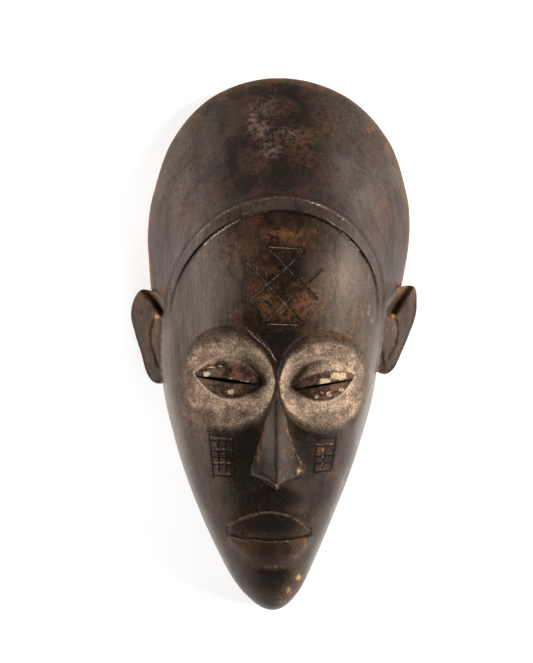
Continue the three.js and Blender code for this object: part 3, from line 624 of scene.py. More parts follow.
def front_mesh():
    """The front as a triangulated height field, and where the outline's points are in it."""
    ring, inward = outline_ring()
    rings = [ring] + [ring + inward * offset for offset in EDGE_OFFSETS]
    lines = [*band_lines(), *eye_lines(), *nose_lines(), *lip_lines(), *cut_lines()]
    edges = [(i, (i + 1) % OUTLINE_POINTS) for i in range(OUTLINE_POINTS)]
    count = OUTLINE_POINTS * len(rings)
    for line in lines:
        edges += [(count + i, count + i + 1) for i in range(len(line) - 1)]
        count += len(line)
    flat = np.vstack(rings + lines + [clear_points(rings[-1], inward, lines)])
    made, _, triangles, origins, _, _ = delaunay_2d_cdt(
        [Vector(p) for p in flat.tolist()], edges, [], 0, MERGED_WITHIN)
    made = np.array([tuple(p) for p in made])
    triangles = np.array(triangles)

    # A triangle between three of the outline's own points lies outside it
    place = np.zeros(OUTLINE_POINTS, int)
    for i, from_points in enumerate(origins):
        for origin in from_points:
            if origin < OUTLINE_POINTS:
                place[origin] = i
    on_outline = np.zeros(len(made), bool)
    on_outline[place] = True
    triangles = triangles[~on_outline[triangles].all(axis=1)]
    x, y = made.T
    return np.column_stack([x, y, front(x, y)]), triangles, place


# A triangle's corners in the order that turns it over
TURNED = [0, 2, 1]


def strip(before, after):
    """The triangles between two closed rows of points."""
    here, there = np.roll(before, -1), np.roll(after, -1)
    return np.vstack([np.column_stack([before, here, after]), np.column_stack([here, there, after])])


def fan(row, tip):
    """The triangles from a closed row of points to one point."""
    return np.column_stack([row, np.roll(row, -1), np.full(len(row), tip)])


def rings_from(start, size, count):
    """The numbers of the points in closed rings that follow one another."""
    return start + np.arange(size * count).reshape(count, size)


def skin(rings, tip):
    """The triangles between closed rings that follow one another, and on to a tip."""
    strips = [strip(before, after) for before, after in zip(rings[:-1], rings[1:])]
    return np.vstack([*strips, fan(rings[-1], tip)])


def whole_head():
    """The front, the rim's wall, its flat underside and the hollow, closed."""
    points, triangles, ring = front_mesh()
    loop = points[ring]
    turn = np.arctan2(loop[:, 0], loop[:, 1] - CENTRE_Y)
    points[ring, 2] = RIM_HEIGHT
    outer = np.hypot(loop[:, 0], loop[:, 1] - CENTRE_Y)
    inner = inner_radius(turn)
    rows = []

    def add_row(radius, height):
        x = radius * np.sin(turn)
        y = CENTRE_Y + radius * np.cos(turn)
        rows.append(np.column_stack([x, y, 0 * y + height(y)]))

    for share in WALL_ROWS:
        add_row(outer - RIM_CHAMFER * share, lambda y: RIM_HEIGHT * (1 - share))
    for share in RIM_ROWS:
        add_row(inner + (outer - RIM_CHAMFER - inner) * share, lambda y: 0)
    for i in range(1, HOLLOW_RINGS):
        rho = math.cos(math.pi / 2 * (i / HOLLOW_RINGS) ** HOLLOW_SPREAD)
        add_row(inner * rho, lambda y: hollow(y, rho, turn))
    rings = rings_from(len(points), OUTLINE_POINTS, len(rows))
    inside = skin([ring, *rings], len(points) + rings.size)[:, TURNED]
    pole = [[0, CENTRE_Y, core(CENTRE_Y) - WALL]]
    return np.vstack([points] + rows + [pole]), np.vstack([triangles, inside])


def smooth_loop(knots, per_knot=40):
    """A smooth closed line through knots, spaced by the roots of the steps between them."""
    knots = np.array(knots, float)
    t = (np.arange(per_knot) / per_knot)[:, None]
    samples = []
    for i in range(len(knots)):
        p0, p1, p2, p3 = (knots[(i + k - 1) % len(knots)] for k in range(4))
        d0, d1, d2 = (math.sqrt(np.hypot(*(b - a))) for a, b in ((p0, p1), (p1, p2), (p2, p3)))
        leave = ((p1 - p0) / d0 - (p2 - p0) / (d0 + d1) + (p2 - p1) / d1) * d1
        arrive = ((p2 - p1) / d1 - (p3 - p1) / (d1 + d2) + (p3 - p2) / d2) * d1
        samples.append(cubic(t, p1, leave, p2, arrive))
    return np.vstack(samples)


def falloff(distance, width):
    return np.exp(-(distance / width) ** 2)


def ear_front(ear, x, y, rho):
    """The height of an ear's front; rho is 0 in its middle and 1 at its edge."""
    slot = SLOT_DEPTH * falloff(distance_to(ear.slot, x, y), ear.slot_width)
    crease = EAR_CREASE.depth * falloff(distance_to(ear.crease, x, y), EAR_CREASE.width)
    edge = EAR_FRONT.edge + EAR_FRONT.slope * (EAR_REACH - np.abs(x))
    rounding = EAR_ROUNDING.depth * rho ** EAR_ROUNDING.power
    return edge - np.maximum(slot, crease) - rounding - chip_depth(x, y)


def ear_back(x):
    return EAR_BACK.edge + EAR_BACK.slope * (EAR_REACH - np.abs(x))


def ear_mesh(ear):
    """An ear: a slab leaning out from the head, with a slot behind its front ridge."""
    loop = smooth_loop(ear.outline)
    middle = loop.mean(axis=0)
    loop_turn = np.arctan2(loop[:, 0] - middle[0], loop[:, 1] - middle[1])
    loop_radius = np.hypot(*(loop - middle).T)
    turn = 2 * np.pi * np.arange(EAR_SECTORS) / EAR_SECTORS
    radius = np.interp(turn, loop_turn, loop_radius, period=2 * np.pi)

    def ring(rho):
        return middle[0] + rho * radius * np.sin(turn), middle[1] + rho * radius * np.cos(turn)

    rows = []
    for rho in np.sin(np.linspace(0, np.pi / 2, EAR_RINGS + 1))[1:]:
        x, y = ring(rho)
        rows.append(np.column_stack([x, y, ear_front(ear, x, y, rho)]))
    x, y = ring(1)
    above, below = ear_front(ear, x, y, 1), ear_back(x)
    rows += [np.column_stack([x, y, above + (below - above) * share]) for share in EAR_SIDE_ROWS]
    for rho in EAR_BACK_RINGS:
        x, y = ring(rho)
        rows.append(np.column_stack([x, y, ear_back(x)]))
    ends = [[[*middle, height]] for height in (ear_front(ear, *middle, 0), ear_back(middle[0]))]
    rings = rings_from(1, EAR_SECTORS, len(rows))
    faces = np.vstack([fan(rings[0], 0)[:, ::-1], skin(rings, 1 + rings.size)])
    return np.vstack([ends[0], *rows, ends[1]]), faces


def slit_mesh(eye):
    """A narrow lens that is cut straight through the wall, along an eye."""
    start, end = (np.array(p, float) for p in eye.slit)
    across = np.array([start[1] - end[1], end[0] - start[0]])
    across *= eye.gap / np.hypot(*across)
    t = np.linspace(0, 1, SLIT_POINTS)[:, None]
    middle = (start + end) / 2

    def bow(control):
        return start * (1 - t) ** 2 + control * 2 * t * (1 - t) + end * t ** 2

    loop = np.vstack([bow(middle - across)[:-1], bow(middle + across)[::-1][:-1]])
    count = len(loop)
    points = np.vstack([np.column_stack([loop, np.full(count, z)]) for z in SLIT_CUT])
    row, cap = np.arange(count), np.arange(1, count - 1)
    below = np.column_stack([0 * cap, cap + 1, cap])
    return points, np.vstack([strip(row, row + count), below, below[:, TURNED] + count])


def placed(name, data):
    """An object with this data, in the scene."""
    made = bpy.data.objects.new(name, data)
    bpy.context.scene.collection.objects.link(made)
    return made


def mesh_object(name, points, faces):
    mesh = bpy.data.meshes.new(name)
    mesh.from_pydata((points * MM).tolist(), [], faces.tolist())
    mesh.validate()
    return placed(name, mesh)


def cut_with(target, tool, operation):
    """Joins a closed shape to the target, or cuts it away."""
    bpy.context.view_layer.objects.active = target
    step = target.modifiers.new("step", "BOOLEAN")
    step.solver = "MANIFOLD"
    step.operation = operation
    step.object = tool
    bpy.ops.object.modifier_apply(modifier=step.name)
    mesh = tool.data
    bpy.data.objects.remove(tool)
    bpy.data.meshes.remove(mesh)


def read_vectors(vertices, name):
    values = np.zeros(len(vertices) * 3)
    vertices.foreach_get(name, values)
    return values.reshape(-1, 3)


def carved_mask():
    mask = mesh_object("carved_mask", *whole_head())
    for ear in EARS:
        cut_with(mask, mesh_object("ear", *ear_mesh(ear)), "UNION")
    for eye in EYES:
        cut_with(mask, mesh_object("slit", *slit_mesh(eye)), "DIFFERENCE")
    points = np.clip(read_vectors(mask.data.vertices, "co"), *np.array(MASK_BOX))
    mask.data.vertices.foreach_set("co", points.ravel())
    mask.data.set_sharp_from_angle(angle=math.radians(SHARP_ANGLE))
    return mask


# Where the finish changes. A line has its points, half width and strength. A spot has its middle,
# its half sizes and its strength.

# Thin light wear along arrises
WORN_LINES = [
    # left brow
    ([(-18.3, 11), (-14.2, 5.8), (-7.9, 0.7), (-2.7, -4.1), (1.4, -11.8)], 0.9, 0.58),
    # groove at the forehead, left, top and right
    ([(-46.7, 66.6), (-42, 71.2), (-36.5, 75.4), (-29.8, 79.6), (-23, 83.2)], 1, 0.84),
    ([(-21, 84.2), (-10.8, 87.8), (-1.3, 89.3)], 0.95, 0.56),
    ([(37.2, 81.2), (43.3, 77.1), (49.4, 70.4), (56.8, 62.9)], 1, 0.78),
    ([(60.2, 58.2), (66.3, 47.4)], 0.95, 0.48),
    # nose, left and right sides
    ([(-6.5, -60.8), (-11.8, -71.2), (-14.9, -82.7), (-13.9, -86.9)], 0.8, 0.4),
    ([(8, -56.7), (10, -60.8), (12.4, -68.1), (15.2, -74.3), (18, -79.6)], 0.9, 0.56),
    # under the nose
    ([(-13.6, -87.6), (-9.4, -89), (-5.4, -92.2), (1.6, -97.4), (8.6, -92.6), (15, -88.2)], 0.8, 0.46),
    # upper lip
    ([(-31.1, -121.6), (-23, -117.1), (-16.9, -114.3), (-8.8, -112.6), (-0.7, -112.2), (8.1, -114.2),
      (16.2, -118.7), (24.2, -125.4)], 1.1, 0.49),
    # the mouth line's lower side
    ([(-24.4, -128.2), (-13.5, -131.2), (-4, -132.6), (10, -131.8)], 0.7, 0.52),
    # ridges between the marks on the cheeks
    ([(-42, -79.2), (-26.4, -79.6)], 0.9, 0.5), ([(-42.6, -70.2), (-28, -70.8)], 0.9, 0.48),
    ([(-43, -62.6), (-28, -63.6)], 0.9, 0.44), ([(-40.6, -86.4), (-27, -87)], 0.9, 0.44),
    ([(-39.4, -64), (-38.4, -86)], 0.9, 0.44), ([(-34, -68), (-33.6, -84)], 0.9, 0.44),
    ([(28.6, -67.2), (40, -66.6)], 0.9, 0.5), ([(28, -73.8), (39, -73.2)], 0.9, 0.48),
    ([(27.4, -84.4), (37, -83.6)], 0.9, 0.48), ([(33.4, -65), (32.2, -83)], 0.9, 0.44),
    # along the crease of the right ear
    ([(81.3, 15), (82, 6), (80.6, -4), (78, -12)], 0.8, 0.4),
    # under the right slit
    ([(14.4, -32.6), (22, -32), (34, -30.2)], 0.6, 0.5),
]

# Where the band's outer arris is worn most
BAND_WEAR = [
    (-46, 76, 9, 7, 0.3), (-31, 90, 12, 8, 0.24), (2, 100, 14, 5, 0.2), (30, 93, 11, 7, 0.42),
    (45, 84, 9, 9, 0.26),
]

# Dark lines: cuts, scratches and the nose's ridge, and painted shade under the brows, sockets, nose and lips
DARK_LINES_AND_SHADE = [
    # painted shade under the right brow
    ([(21.3, 4.7), (14.9, -0.3), (8.8, -6.1), (2.4, -12.6)], 1.3, 0.95),
    # painted shade under the left brow, on the side of the socket
    ([(-16.5, 7), (-9, -0.6), (-3.2, -7), (0.2, -13)], 2, 0.85),
    # painted shade under the sockets
    ([(-44, -58), (-37, -59.6), (-29.8, -60.2), (-20, -58.4), (-14, -54)], 1.7, 0.85),
    ([(24, -58.6), (34, -60.6), (44, -58.2)], 1.3, 0.5),
    # the ridge of the nose
    ([(1.7, -12), (1.6, -50), (1.6, -93)], 0.95, 1),
    # painted shade above the rim under the nose, on the left
    ([(-9.4, -86.2), (-4, -88.4), (0.4, -92)], 1.2, 0.6),
    # painted shade on the upper lip under its arris, and the ticks at the mouth's corners
    ([(-10, -115.2), (0, -114.8), (9, -116.6)], 1.6, 0.7),
    ([(-31.3, -121.5), (-31.6, -129)], 0.9, 0.8),
    ([(24.8, -123), (24.6, -128)], 0.9, 0.8),
    ([(-29.5, -127.6), (-14, -130.6), (-2, -131.4), (10, -130.8), (23.5, -128.4)], 0.9, 1),
    # painted shade under the middle of the lower lip
    ([(-9, -152.6), (0, -154.2), (8, -152.4)], 2.4, 0.8),
    # painted shade outside the nose, left
    ([(-8.2, -58), (-13.4, -71), (-16.6, -82), (-15.6, -87.6)], 1, 0.7),
    # scratches on the forehead
    ([(-30.8, 51.4), (-27, 44.6)], 1.1, 0.75),
    ([(24.4, 61.6), (37.2, 62.4)], 0.8, 0.45),
    # at the lobe of the right ear
    ([(73.1, -5.4), (74.4, -17.6)], 1.2, 0.8),
    # right cheek
    ([(41.6, -61.6), (38.4, -84)], 1.2, 0.85), ([(27.9, -68.8), (26.4, -85.4)], 0.9, 0.8),
    ([(-43.3, -60.5), (-40.3, -89.3)], 0.8, 0.4),
]

# Painted shade: broad places darkened where shade falls under the brows, nose and lips, and where the wood
# faces away from the side lamps, in the coiffure's middle over darker patina. A strength over 1 keeps most
# of the place fully dark.
SHADED = [
    # between the brows and along the nose
    (1.4, 6, 17, 15, 1.5), (1.4, -8, 7, 12, 1.4), (1.5, -36, 4, 30, 0.9), (1.7, -76, 14, 22, 0.2),
    # the cheeks beside the nose and under the sockets
    (-17, -77, 13, 22, 1.5), (-16, -60, 10, 8, 1.2), (-35, -75, 9, 15, 0.7), (-27, -100, 12, 14, 0.9),
    (20, -70, 10, 16, 0.9), (22, -82, 11, 26, 1), (17, -61, 8, 9, 1.1), (34, -75, 8, 12, 0.6),
    (26, -100, 14, 14, 0.8), (-50, -88, 12, 34, 0.25), (47, -88, 12, 34, 0.3),
    # under the nose, the lips and the chin
    (-2, -103.5, 26, 9, 1.5), (-2, -103, 38, 12, 0.9), (-2, -121, 21, 7, 1.4), (-3, -118, 36, 13, 0.8),
    (-5, -139, 11, 10, 0.8), (0, -158, 18, 12, 1.1), (0, -160, 26, 20, 0.7),
    # the middle of the forehead
    (4, 58, 18, 14, 0.45), (2, 35, 24, 24, 0.5),
    # the middle of the coiffure
    (6, 122, 30, 42, 1), (-20, 108, 18, 14, 0.85), (-8, 106, 28, 6, 0.8), (2, 170, 60, 22, 0.5),
    (16.2, 150, 16, 14, 0.65), (2, 168, 18, 8, 0.65), (-52, 128, 4, 26, 0.45), (-35.5, 146, 2.5, 7, 0.55),
    (-27, 116, 5, 24, 0.9), (-32, 112, 8, 18, 0.4),
    # the coiffure's foot and the ears
    (-84, 58, 12, 32, 0.32), (80, 58, 14, 32, 0.36), (-92, 10, 9, 40, 0.36), (93, 0, 8, 40, 0.3),
    (-86.6, 32.8, 3, 4, 0.9), (-84, 24, 3, 4, 0.6),
]

# Painted sheen with grey dust: places made paler where the lamps fall more strongly on the wood
DUST_AND_SHEEN_SPOTS = [
    (46, 40, 16, 20, 0.55), (-6, -72, 6, 16, 0.3), (9, -72, 6, 16, 0.18), (44, 118, 10, 16, 0.3),
    (58, 96, 7, 12, 0.3), (-42, 50, 22, 24, 0.24), (0, 94.5, 26, 4, 0.14),
]

# Bare or rubbed spots
WORN_SPOTS = [
    (16.4, -157, 2.4, 3, 0.72), (10.2, -166, 1.9, 3.3, 0.66), (16.6, -84.9, 2.2, 3.4, 0.66),
    (-79, 18.8, 2.6, 2, 0.85), (80.6, 19.1, 2.2, 1.6, 0.85), (46, 44, 8, 9, 0.34),
    (63.6, 23, 1.5, 9, 0.62), (62.3, 31.8, 1.8, 1.8, 0.6), (50.5, 12, 5, 5, 0.3), (65, 16, 2.5, 3, 0.5),
    (-16.9, 93.4, 1.4, 1.2, 0.5), (-9.5, 96.1, 1.4, 1, 0.6), (6.8, 97.8, 1.4, 1, 0.5),
    (48, 83.2, 2, 1.4, 0.6), (-76, -42, 2, 2, 0.4), (46, -93.4, 2.6, 6, 0.56),
    (-20.4, -136.6, 2.4, 1.8, 0.35), (-55.5, 47.4, 1.5, 1.2, 0.4), (-59.5, 31.8, 1.5, 1.2, 0.4),
]
ORANGE_SPOTS = [
    (8.1, 73, 13, 4, 0.75), (24, 28, 12, 9, 0.75), (-5.4, 27.7, 8, 10, 0.62), (8, 22, 14, 8, 0.55),
    (46, 44, 10, 12, 0.5), (54, 20, 8, 12, 0.4), (42.6, 5, 17, 7, 0.7), (59, -3, 3, 9, 0.6),
    (31.1, -70.7, 4, 2.5, 0.85), (16.4, -157, 3.4, 4, 1), (10, -166, 3.2, 5, 1), (5.5, -173, 4, 4, 0.8),
    (21, -133, 1.6, 7, 0.7), (15, -143, 3, 2, 0.7), (-0.6, -149.6, 6.5, 1.3, 1), (27, -118, 3, 3, 0.5),
    (41, -86, 4, 6, 0.4), (44, -94, 3, 5, 0.4), (-80.5, 35.2, 2.5, 2.5, 0.9), (85.3, 39.9, 2.5, 2.5, 0.9),
    (48, 168.5, 5, 2, 0.8), (-84, 36, 2, 8, 0.7), (86, 38, 2, 8, 0.6), (65, 144.8, 3, 5, 0.8),
    (77.1, 134.7, 3, 5, 0.8), (83.9, 121.1, 3, 6, 0.8), (-36.5, 165.1, 6, 2, 0.7),
    (-53.5, 155, 5, 2.5, 0.7), (-77.1, 131.3, 3, 8, 0.8), (-78.5, 104.2, 2.5, 6, 0.5),
    (14, 137, 12, 6, 0.5), (-13, 124, 9, 9, 0.2), (20, 126, 14, 10, 0.25), (37.9, 148.2, 9, 12, 0.3),
    (-48, -50, 12, 9, 0.35), (-44, 2, 10, 6, 0.6), (-62, 90, 7, 14, 0.35), (-25, 2, 7, 5, 0.5),
    (18.2, -83.5, 2.6, 3.4, 0.8), (-7.4, -62, 1.6, 5, 0.5), (-10.6, -73, 1.6, 7, 0.6),
    (12, -68, 2, 9, 0.35), (70, 88, 8, 16, 0.3), (-30, 60, 16, 12, 0.18), (-79, 18.8, 4, 3.4, 0.7),
    (80.6, 19.1, 3.6, 3, 0.7), (-85, 6, 5, 14, 0.3), (73, -18, 3, 4, 0.6), (-74, 34, 3, 7, 0.5),
]
PINK_SPOTS = [
    (-15, 152, 4, 10, 0.85), (-9, 144, 6, 7, 0.85), (-2.7, 130.6, 7, 5, 0.85), (8, 141, 14, 5, 0.5),
    (46, 44, 9, 11, 0.6), (-6, 160, 10, 8, 0.5), (-50, -47, 14, 10, 0.34), (-40, 55, 18, 12, 0.14),
    (-60, 120, 14, 24, 0.14),
]

# Cream flakes left on the lids
FLAKES = [
    # right eye, above and below its slit
    (34, -24.8, 3.6, 1.9, 0.8), (43.4, -21.4, 5.2, 2.4, 0.85), (50.9, -16.9, 1.9, 1.6, 0.95),
    (28.4, -35.3, 1.3, 1.4, 0.66), (32.5, -32.5, 1.3, 0.9, 0.6), (36.7, -33.5, 1.9, 1.9, 0.6),
    (45.4, -30.5, 2, 1.6, 0.54),
    # left eye
    (-45.3, -20, 2, 1.7, 0.95), (-41.6, -15.6, 2.4, 0.7, 0.7), (-36, -14.6, 1.6, 0.6, 0.6),
    (-29, -31.9, 1.9, 1.4, 0.9), (-21.4, -24.9, 4.6, 0.6, 0.8), (-28.8, -22.8, 0.8, 0.7, 0.7),
]

# The kaolin of each socket: its strength, where it starts on the upper lid, and the places
# where it is worn thin
KAOLIN = [
    Sizes(strength=0.97, lid=(0.5, 1), thin=[
        (-51, 3, 9, 7, 0.4), (-38.1, 3.2, 4, 3, 0.4), (-48, -50, 13, 9, 0.66),
        (-30, -53, 28, 12, 0.42), (-57, -24, 9, 20, 0.46), (-22, -47, 9, 6, 0.46),
    ]),
    Sizes(strength=1, lid=(0.26, 0.56), thin=[
        (38, 6, 24, 6, 0.42), (60, -6, 6, 16, 0.5), (17, 1, 8, 7, 0.4),
        (34, -53, 28, 12, 0.44), (60, -28, 9, 24, 0.46),
    ]),
]
KAOLIN_BARE = 0.08

# The parts of a socket: its nose side, the wall under its brow, and the brow's own side
NOSE_SIDE = (0.6, 0.95)
INNER_WALL = (-0.9, -0.3)
BROW_SIDE = (0.2, 0.8)

# How far the painted shade round each slit spreads, in millimetres
SLIT_SHADE_SPREAD = (1.5, 1.05)

# The kaolin's edge, as shares of the socket, how it shifts beside the nose, and how soft it is
# under the brow
KAOLIN_EDGE = Sizes(start=0.84, end=1.03, nose_start=0.08, nose_end=-0.04, soft=0.12)
LOWER_LID = (0.88, 1)
LID_EDGE = (0.85, 1.02)
FLAKE_SHAPE = Sizes(power=3, edge=(0.7, 1.45))
LID_RIM = Sizes(off=0.4, width=0.8, kaolin=0.28, least=0.3)

# Painted shade in the groove inside the band, the worn arris outside it and painted shade at its foot
BAND_MARKS = ((BAND_INNER, -0.2, 0.9), (BAND_OUTER, -0.4, 0.8), (BAND_OUTER, 1.4, 1.3))
BAND_MARKS_FROM = (12, 30)
BAND_SHADE = Sizes(groove=0.75, foot=0.55)
BAND_LEAST_WEAR = 0.42
# Grey dust and painted sheen on the band, where the painted shade is weaker
BAND_DUST_AND_SHEEN = Sizes(y=20, dust=0.55, shaded=0.3)

# The forehead's cross has light arrises, fainter on the right, beside its dark cuts
CROSS_WEAR = Sizes(strength=0.74, fades=0.36, over=(8, 26), width=0.5)
CROSS_DARK = Sizes(strength=0.9, off=1, width=0.6)
CHEEK_DARK = Sizes(strength=0.85, width=0.75)
# How dark the painted shade round the slits is
SLIT_SHADE = 0.95
# Painted shade in creases and hollows, on the front and on the rim's wall
CREASE_SHADE_STRENGTH = Sizes(front=1.6, wall=0.5)
SHORTEST_EDGE = 0.02
TURN_SMOOTHINGS = 2

# Which points are on the front: how far in from the outline, and how far under the front
WALL_EDGE = -0.5
INNER_EDGE = 1
UNDER_FRONT = (-3, -1)

# Grey dust and painted sheen toward the sides, where the lamps glance off the wood, from and to a share of
# the half width
SIDE_DUST_AND_SHEEN = Sizes(above=(0.12, 0.8), below=(0.5, 0.98), below_share=0.9, down=(-20, -75), wall=0.3)
# Painted sheen: a pale strip along the contour, where the wood turns away and mirrors the bright floor
PALE_SHEEN_SIDE = Sizes(share=(0.86, 1), least=0.25, down=(25, -10))
RIM_WEAR = Sizes(edge=(2.4, 0.5), up=(25, 40))
CROWN_WEAR = Sizes(edge=(5, 3), up=(160, 172), orange=0.4, pale=0.2)
UPPER_FROM = (-20, 30)

# The channels of the finish, three to each of the mesh's colour attributes
CHANNELS = {
    "paint": ("kaolin", "worn", "dark"), "tint": ("dust", "orange", "pink"),
    "shape": ("sharp", "shaded", "bare"), "mark": ("lids", "flake", "rims"),
    "side": ("pale", "upper", "rim"),
}


def strongest(fields):
    return np.maximum.reduce(list(fields))


def spots(places, x, y):
    return strongest(strength * np.exp(-((x - cx) / a) ** 2 - ((y - cy) / b) ** 2)
                     for cx, cy, a, b, strength in places)


def wear_lines(places, x, y):
    return strongest(strength * falloff(distance_to(line, x, y), width)
                     for line, width, strength in places)


def flake_cover(x, y):
    """Flakes are spots with a crisp, squarish edge."""
    power = FLAKE_SHAPE.power
    covers = []
    for cx, cy, a, b, strength in FLAKES:
        reach = (np.abs((x - cx) / a) ** power + np.abs((y - cy) / b) ** power) ** (1 / power)
        covers.append(strength * (1 - smooth(*FLAKE_SHAPE.edge, reach)))
    return strongest(covers)


def kaolin_cover(x, y):
    """White kaolin rubbed over each socket, but not on the lids or the wall under the brow."""
    covers = []
    for socket, eye, rub in zip(SOCKETS, EYES, KAOLIN):
        q, inward, upward = socket_ways(socket, x, y)
        bare = KAOLIN_BARE * np.sqrt(np.clip(upward, 0, 1)) * smooth(*INNER_WALL, inward)
        beside_nose = smooth(*NOSE_SIDE, inward)
        soft = KAOLIN_EDGE.soft * smooth(*BROW_SIDE, upward)
        start = KAOLIN_EDGE.start + KAOLIN_EDGE.nose_start * beside_nose - soft
        end = KAOLIN_EDGE.end + KAOLIN_EDGE.nose_end * beside_nose + soft / 2
        rubbed = 1 - smooth(start, end, q + bare)
        u, v, reach = along_eye(eye, x, y)
        share = np.abs(v) / np.maximum(reach, 1e-3)
        beyond = np.where(v > 0, smooth(*rub.lid, share), smooth(*LOWER_LID, share))
        lids = np.where(np.abs(u) < 1, beyond, 1)
        covers.append(rub.strength * rubbed * lids * (1 - spots(rub.thin, x, y)))
    return strongest(covers)


def lid_cover(x, y):
    """The lids, and the light rim of kaolin along each almond's edge."""
    lids, rims = [], []
    for eye in EYES:
        u, v, reach = along_eye(eye, x, y)
        near = np.abs(u) < LID_EDGE[1]
        lids.append(near * (1 - smooth(*LID_EDGE, np.abs(v) / np.maximum(reach, 0.5))))
        rims.append(near * falloff(np.abs(np.abs(v) - reach - LID_RIM.off), LID_RIM.width))
    return strongest(lids), strongest(rims)


def edges_and_hollows(mesh, points):
    """How sharply the surface turns outward or inward at each point."""
    count = len(points)
    ends = np.zeros(len(mesh.edges) * 2, int)
    mesh.edges.foreach_get("vertices", ends)
    a, b = ends.reshape(-1, 2).T
    normals = read_vectors(mesh.vertices, "normal")
    run = points[b] - points[a]
    length = np.maximum(np.linalg.norm(run, axis=1), SHORTEST_EDGE)
    turn = np.zeros(count)
    weight = np.zeros(count)
    for here, sign in ((a, 1), (b, -1)):
        np.add.at(turn, here, sign * (run * normals[here]).sum(axis=1) / length)
        np.add.at(weight, here, 1)
    turn /= np.maximum(weight, 1)
    for _ in range(TURN_SMOOTHINGS):
        total = turn * 2
        share = np.full(count, 2.0)
        for here, there in ((a, b), (b, a)):
            np.add.at(total, here, turn[there])
            np.add.at(share, here, 1)
        turn = total / share
    return np.clip(-turn, 0, 1), np.clip(turn, 0, 1)


def dust_and_sheen_marks(y, across, edge):
    """Grey dust and painted sheen on the sides, a painted pale sheen along the contour, and the wear at the
    crown's rim.
    """
    low = smooth(*SIDE_DUST_AND_SHEEN.down, y)
    dust = (smooth(*SIDE_DUST_AND_SHEEN.above, across) * (1 - low)
            + SIDE_DUST_AND_SHEEN.below_share * smooth(*SIDE_DUST_AND_SHEEN.below, across) * low)
    climb = PALE_SHEEN_SIDE.least + (1 - PALE_SHEEN_SIDE.least) * smooth(*PALE_SHEEN_SIDE.down, y)
    pale = smooth(*PALE_SHEEN_SIDE.share, across) * (edge > WALL_EDGE) * climb
    rim, crown = (smooth(*wear.edge, edge) * smooth(*wear.up, y) for wear in (RIM_WEAR, CROWN_WEAR))
    return dust, pale, rim, crown


# Dark lines and cuts, with painted shade under the brows, sockets, nose and lips, round the slits, in the
# band's groove and at its foot, and in creases
def dark_marks(x, y, cross, crease_shade, groove, foot):
    slit = np.minimum(*[distance_to(eye.slit, x, y) / width for eye, width in zip(EYES, SLIT_SHADE_SPREAD)])
    return strongest((
        wear_lines(DARK_LINES_AND_SHADE, x, y), SLIT_SHADE * falloff(slit, 1),
        BAND_SHADE.groove * groove, BAND_SHADE.foot * foot,
        CHEEK_DARK.strength * falloff(nearest_of(CHEEK_CUTS, x, y), CHEEK_DARK.width),
        CROSS_DARK.strength * falloff(cross - CROSS_DARK.off, CROSS_DARK.width), crease_shade))


def worn_marks(x, y, cross, arris):
    lit = CROSS_WEAR.strength - CROSS_WEAR.fades * smooth(*CROSS_WEAR.over, x)
    return strongest((
        wear_lines(WORN_LINES, x, y), spots(WORN_SPOTS, x, y), lit * falloff(cross, CROSS_WEAR.width),
        (BAND_LEAST_WEAR + spots(BAND_WEAR, x, y)) * arris))


def finish_marks(mesh):
    """Where the paint, wear, dust, painted shade and sheen, and bare wood are, by channel."""
    points = read_vectors(mesh.vertices, "co") / MM
    x, y, z = points.T
    sharp, crease_shade = edges_and_hollows(mesh, points)
    below_front = z - front(x, y)
    edge = outer_radius(np.arctan2(x, y - CENTRE_Y)) - np.hypot(x, y - CENTRE_Y)
    on_wall = edge < WALL_EDGE
    on_head = (edge > WALL_EDGE) & (below_front > UNDER_FRONT[0])
    at_front = np.where(edge > INNER_EDGE, smooth(*UNDER_FRONT, below_front), 1)
    lids, rims = lid_cover(x, y)
    kaolin = kaolin_cover(x, y) * on_head
    kaolin = np.clip(kaolin + LID_RIM.kaolin * rims * (kaolin > LID_RIM.least), 0, 1)
    shown = smooth(*BAND_MARKS_FROM, y)
    groove, arris, foot = (falloff(past_band(ellipse, x, y) - off, width) * shown
                           for ellipse, off, width in BAND_MARKS)
    cross = nearest_of(CROSS, x, y)
    # Painted shade in creases and hollows, weaker on the rim's wall
    crease_shade = np.where(on_wall, CREASE_SHADE_STRENGTH.wall, CREASE_SHADE_STRENGTH.front) * crease_shade
    across = np.abs(x - skew(y)) / np.maximum(half_width(y), 1)
    on_band = ((band_reach(BAND_OUTER, x, y) < 1) & (band_reach(BAND_INNER, x, y) > 1)
               & (y > BAND_DUST_AND_SHEEN.y))
    dust, pale, rim, crown = dust_and_sheen_marks(y, across, edge)
    dust = np.where(on_band, np.maximum(dust, BAND_DUST_AND_SHEEN.dust), dust)
    shaded = np.clip(spots(SHADED, x, y), 0, 1) * at_front
    return {
        "kaolin": kaolin, "worn": np.clip(worn_marks(x, y, cross, arris) * at_front, 0, 1),
        "dark": np.clip(dark_marks(x, y, cross, crease_shade, groove, foot) * at_front, 0, 1),
        "dust": np.where(on_wall, SIDE_DUST_AND_SHEEN.wall, dust) * at_front,
        "orange": strongest((spots(ORANGE_SPOTS, x, y), CROWN_WEAR.orange * crown)) * at_front,
        "pink": spots(PINK_SPOTS, x, y) * at_front,
        "sharp": sharp, "shaded": np.where(on_band, BAND_DUST_AND_SHEEN.shaded * shaded, shaded),
        "bare": (edge > INNER_EDGE) & (below_front < UNDER_FRONT[0]),
        "lids": lids * on_head, "flake": flake_cover(x, y) * on_head, "rims": rims * on_head,
        "pale": strongest((pale, spots(DUST_AND_SHEEN_SPOTS, x, y) * at_front, CROWN_WEAR.pale * crown)),
        "upper": smooth(*UPPER_FROM, y), "rim": rim,
    }


def write_finish(mesh):
    marks = finish_marks(mesh)
    for name, channels in CHANNELS.items():
        values = np.column_stack([marks[channel] for channel in channels] + [np.ones(len(mesh.vertices))])
        layer = mesh.attributes.new(name, "FLOAT_COLOR", "POINT")
        layer.data.foreach_set("color", values.astype(np.float32).ravel())


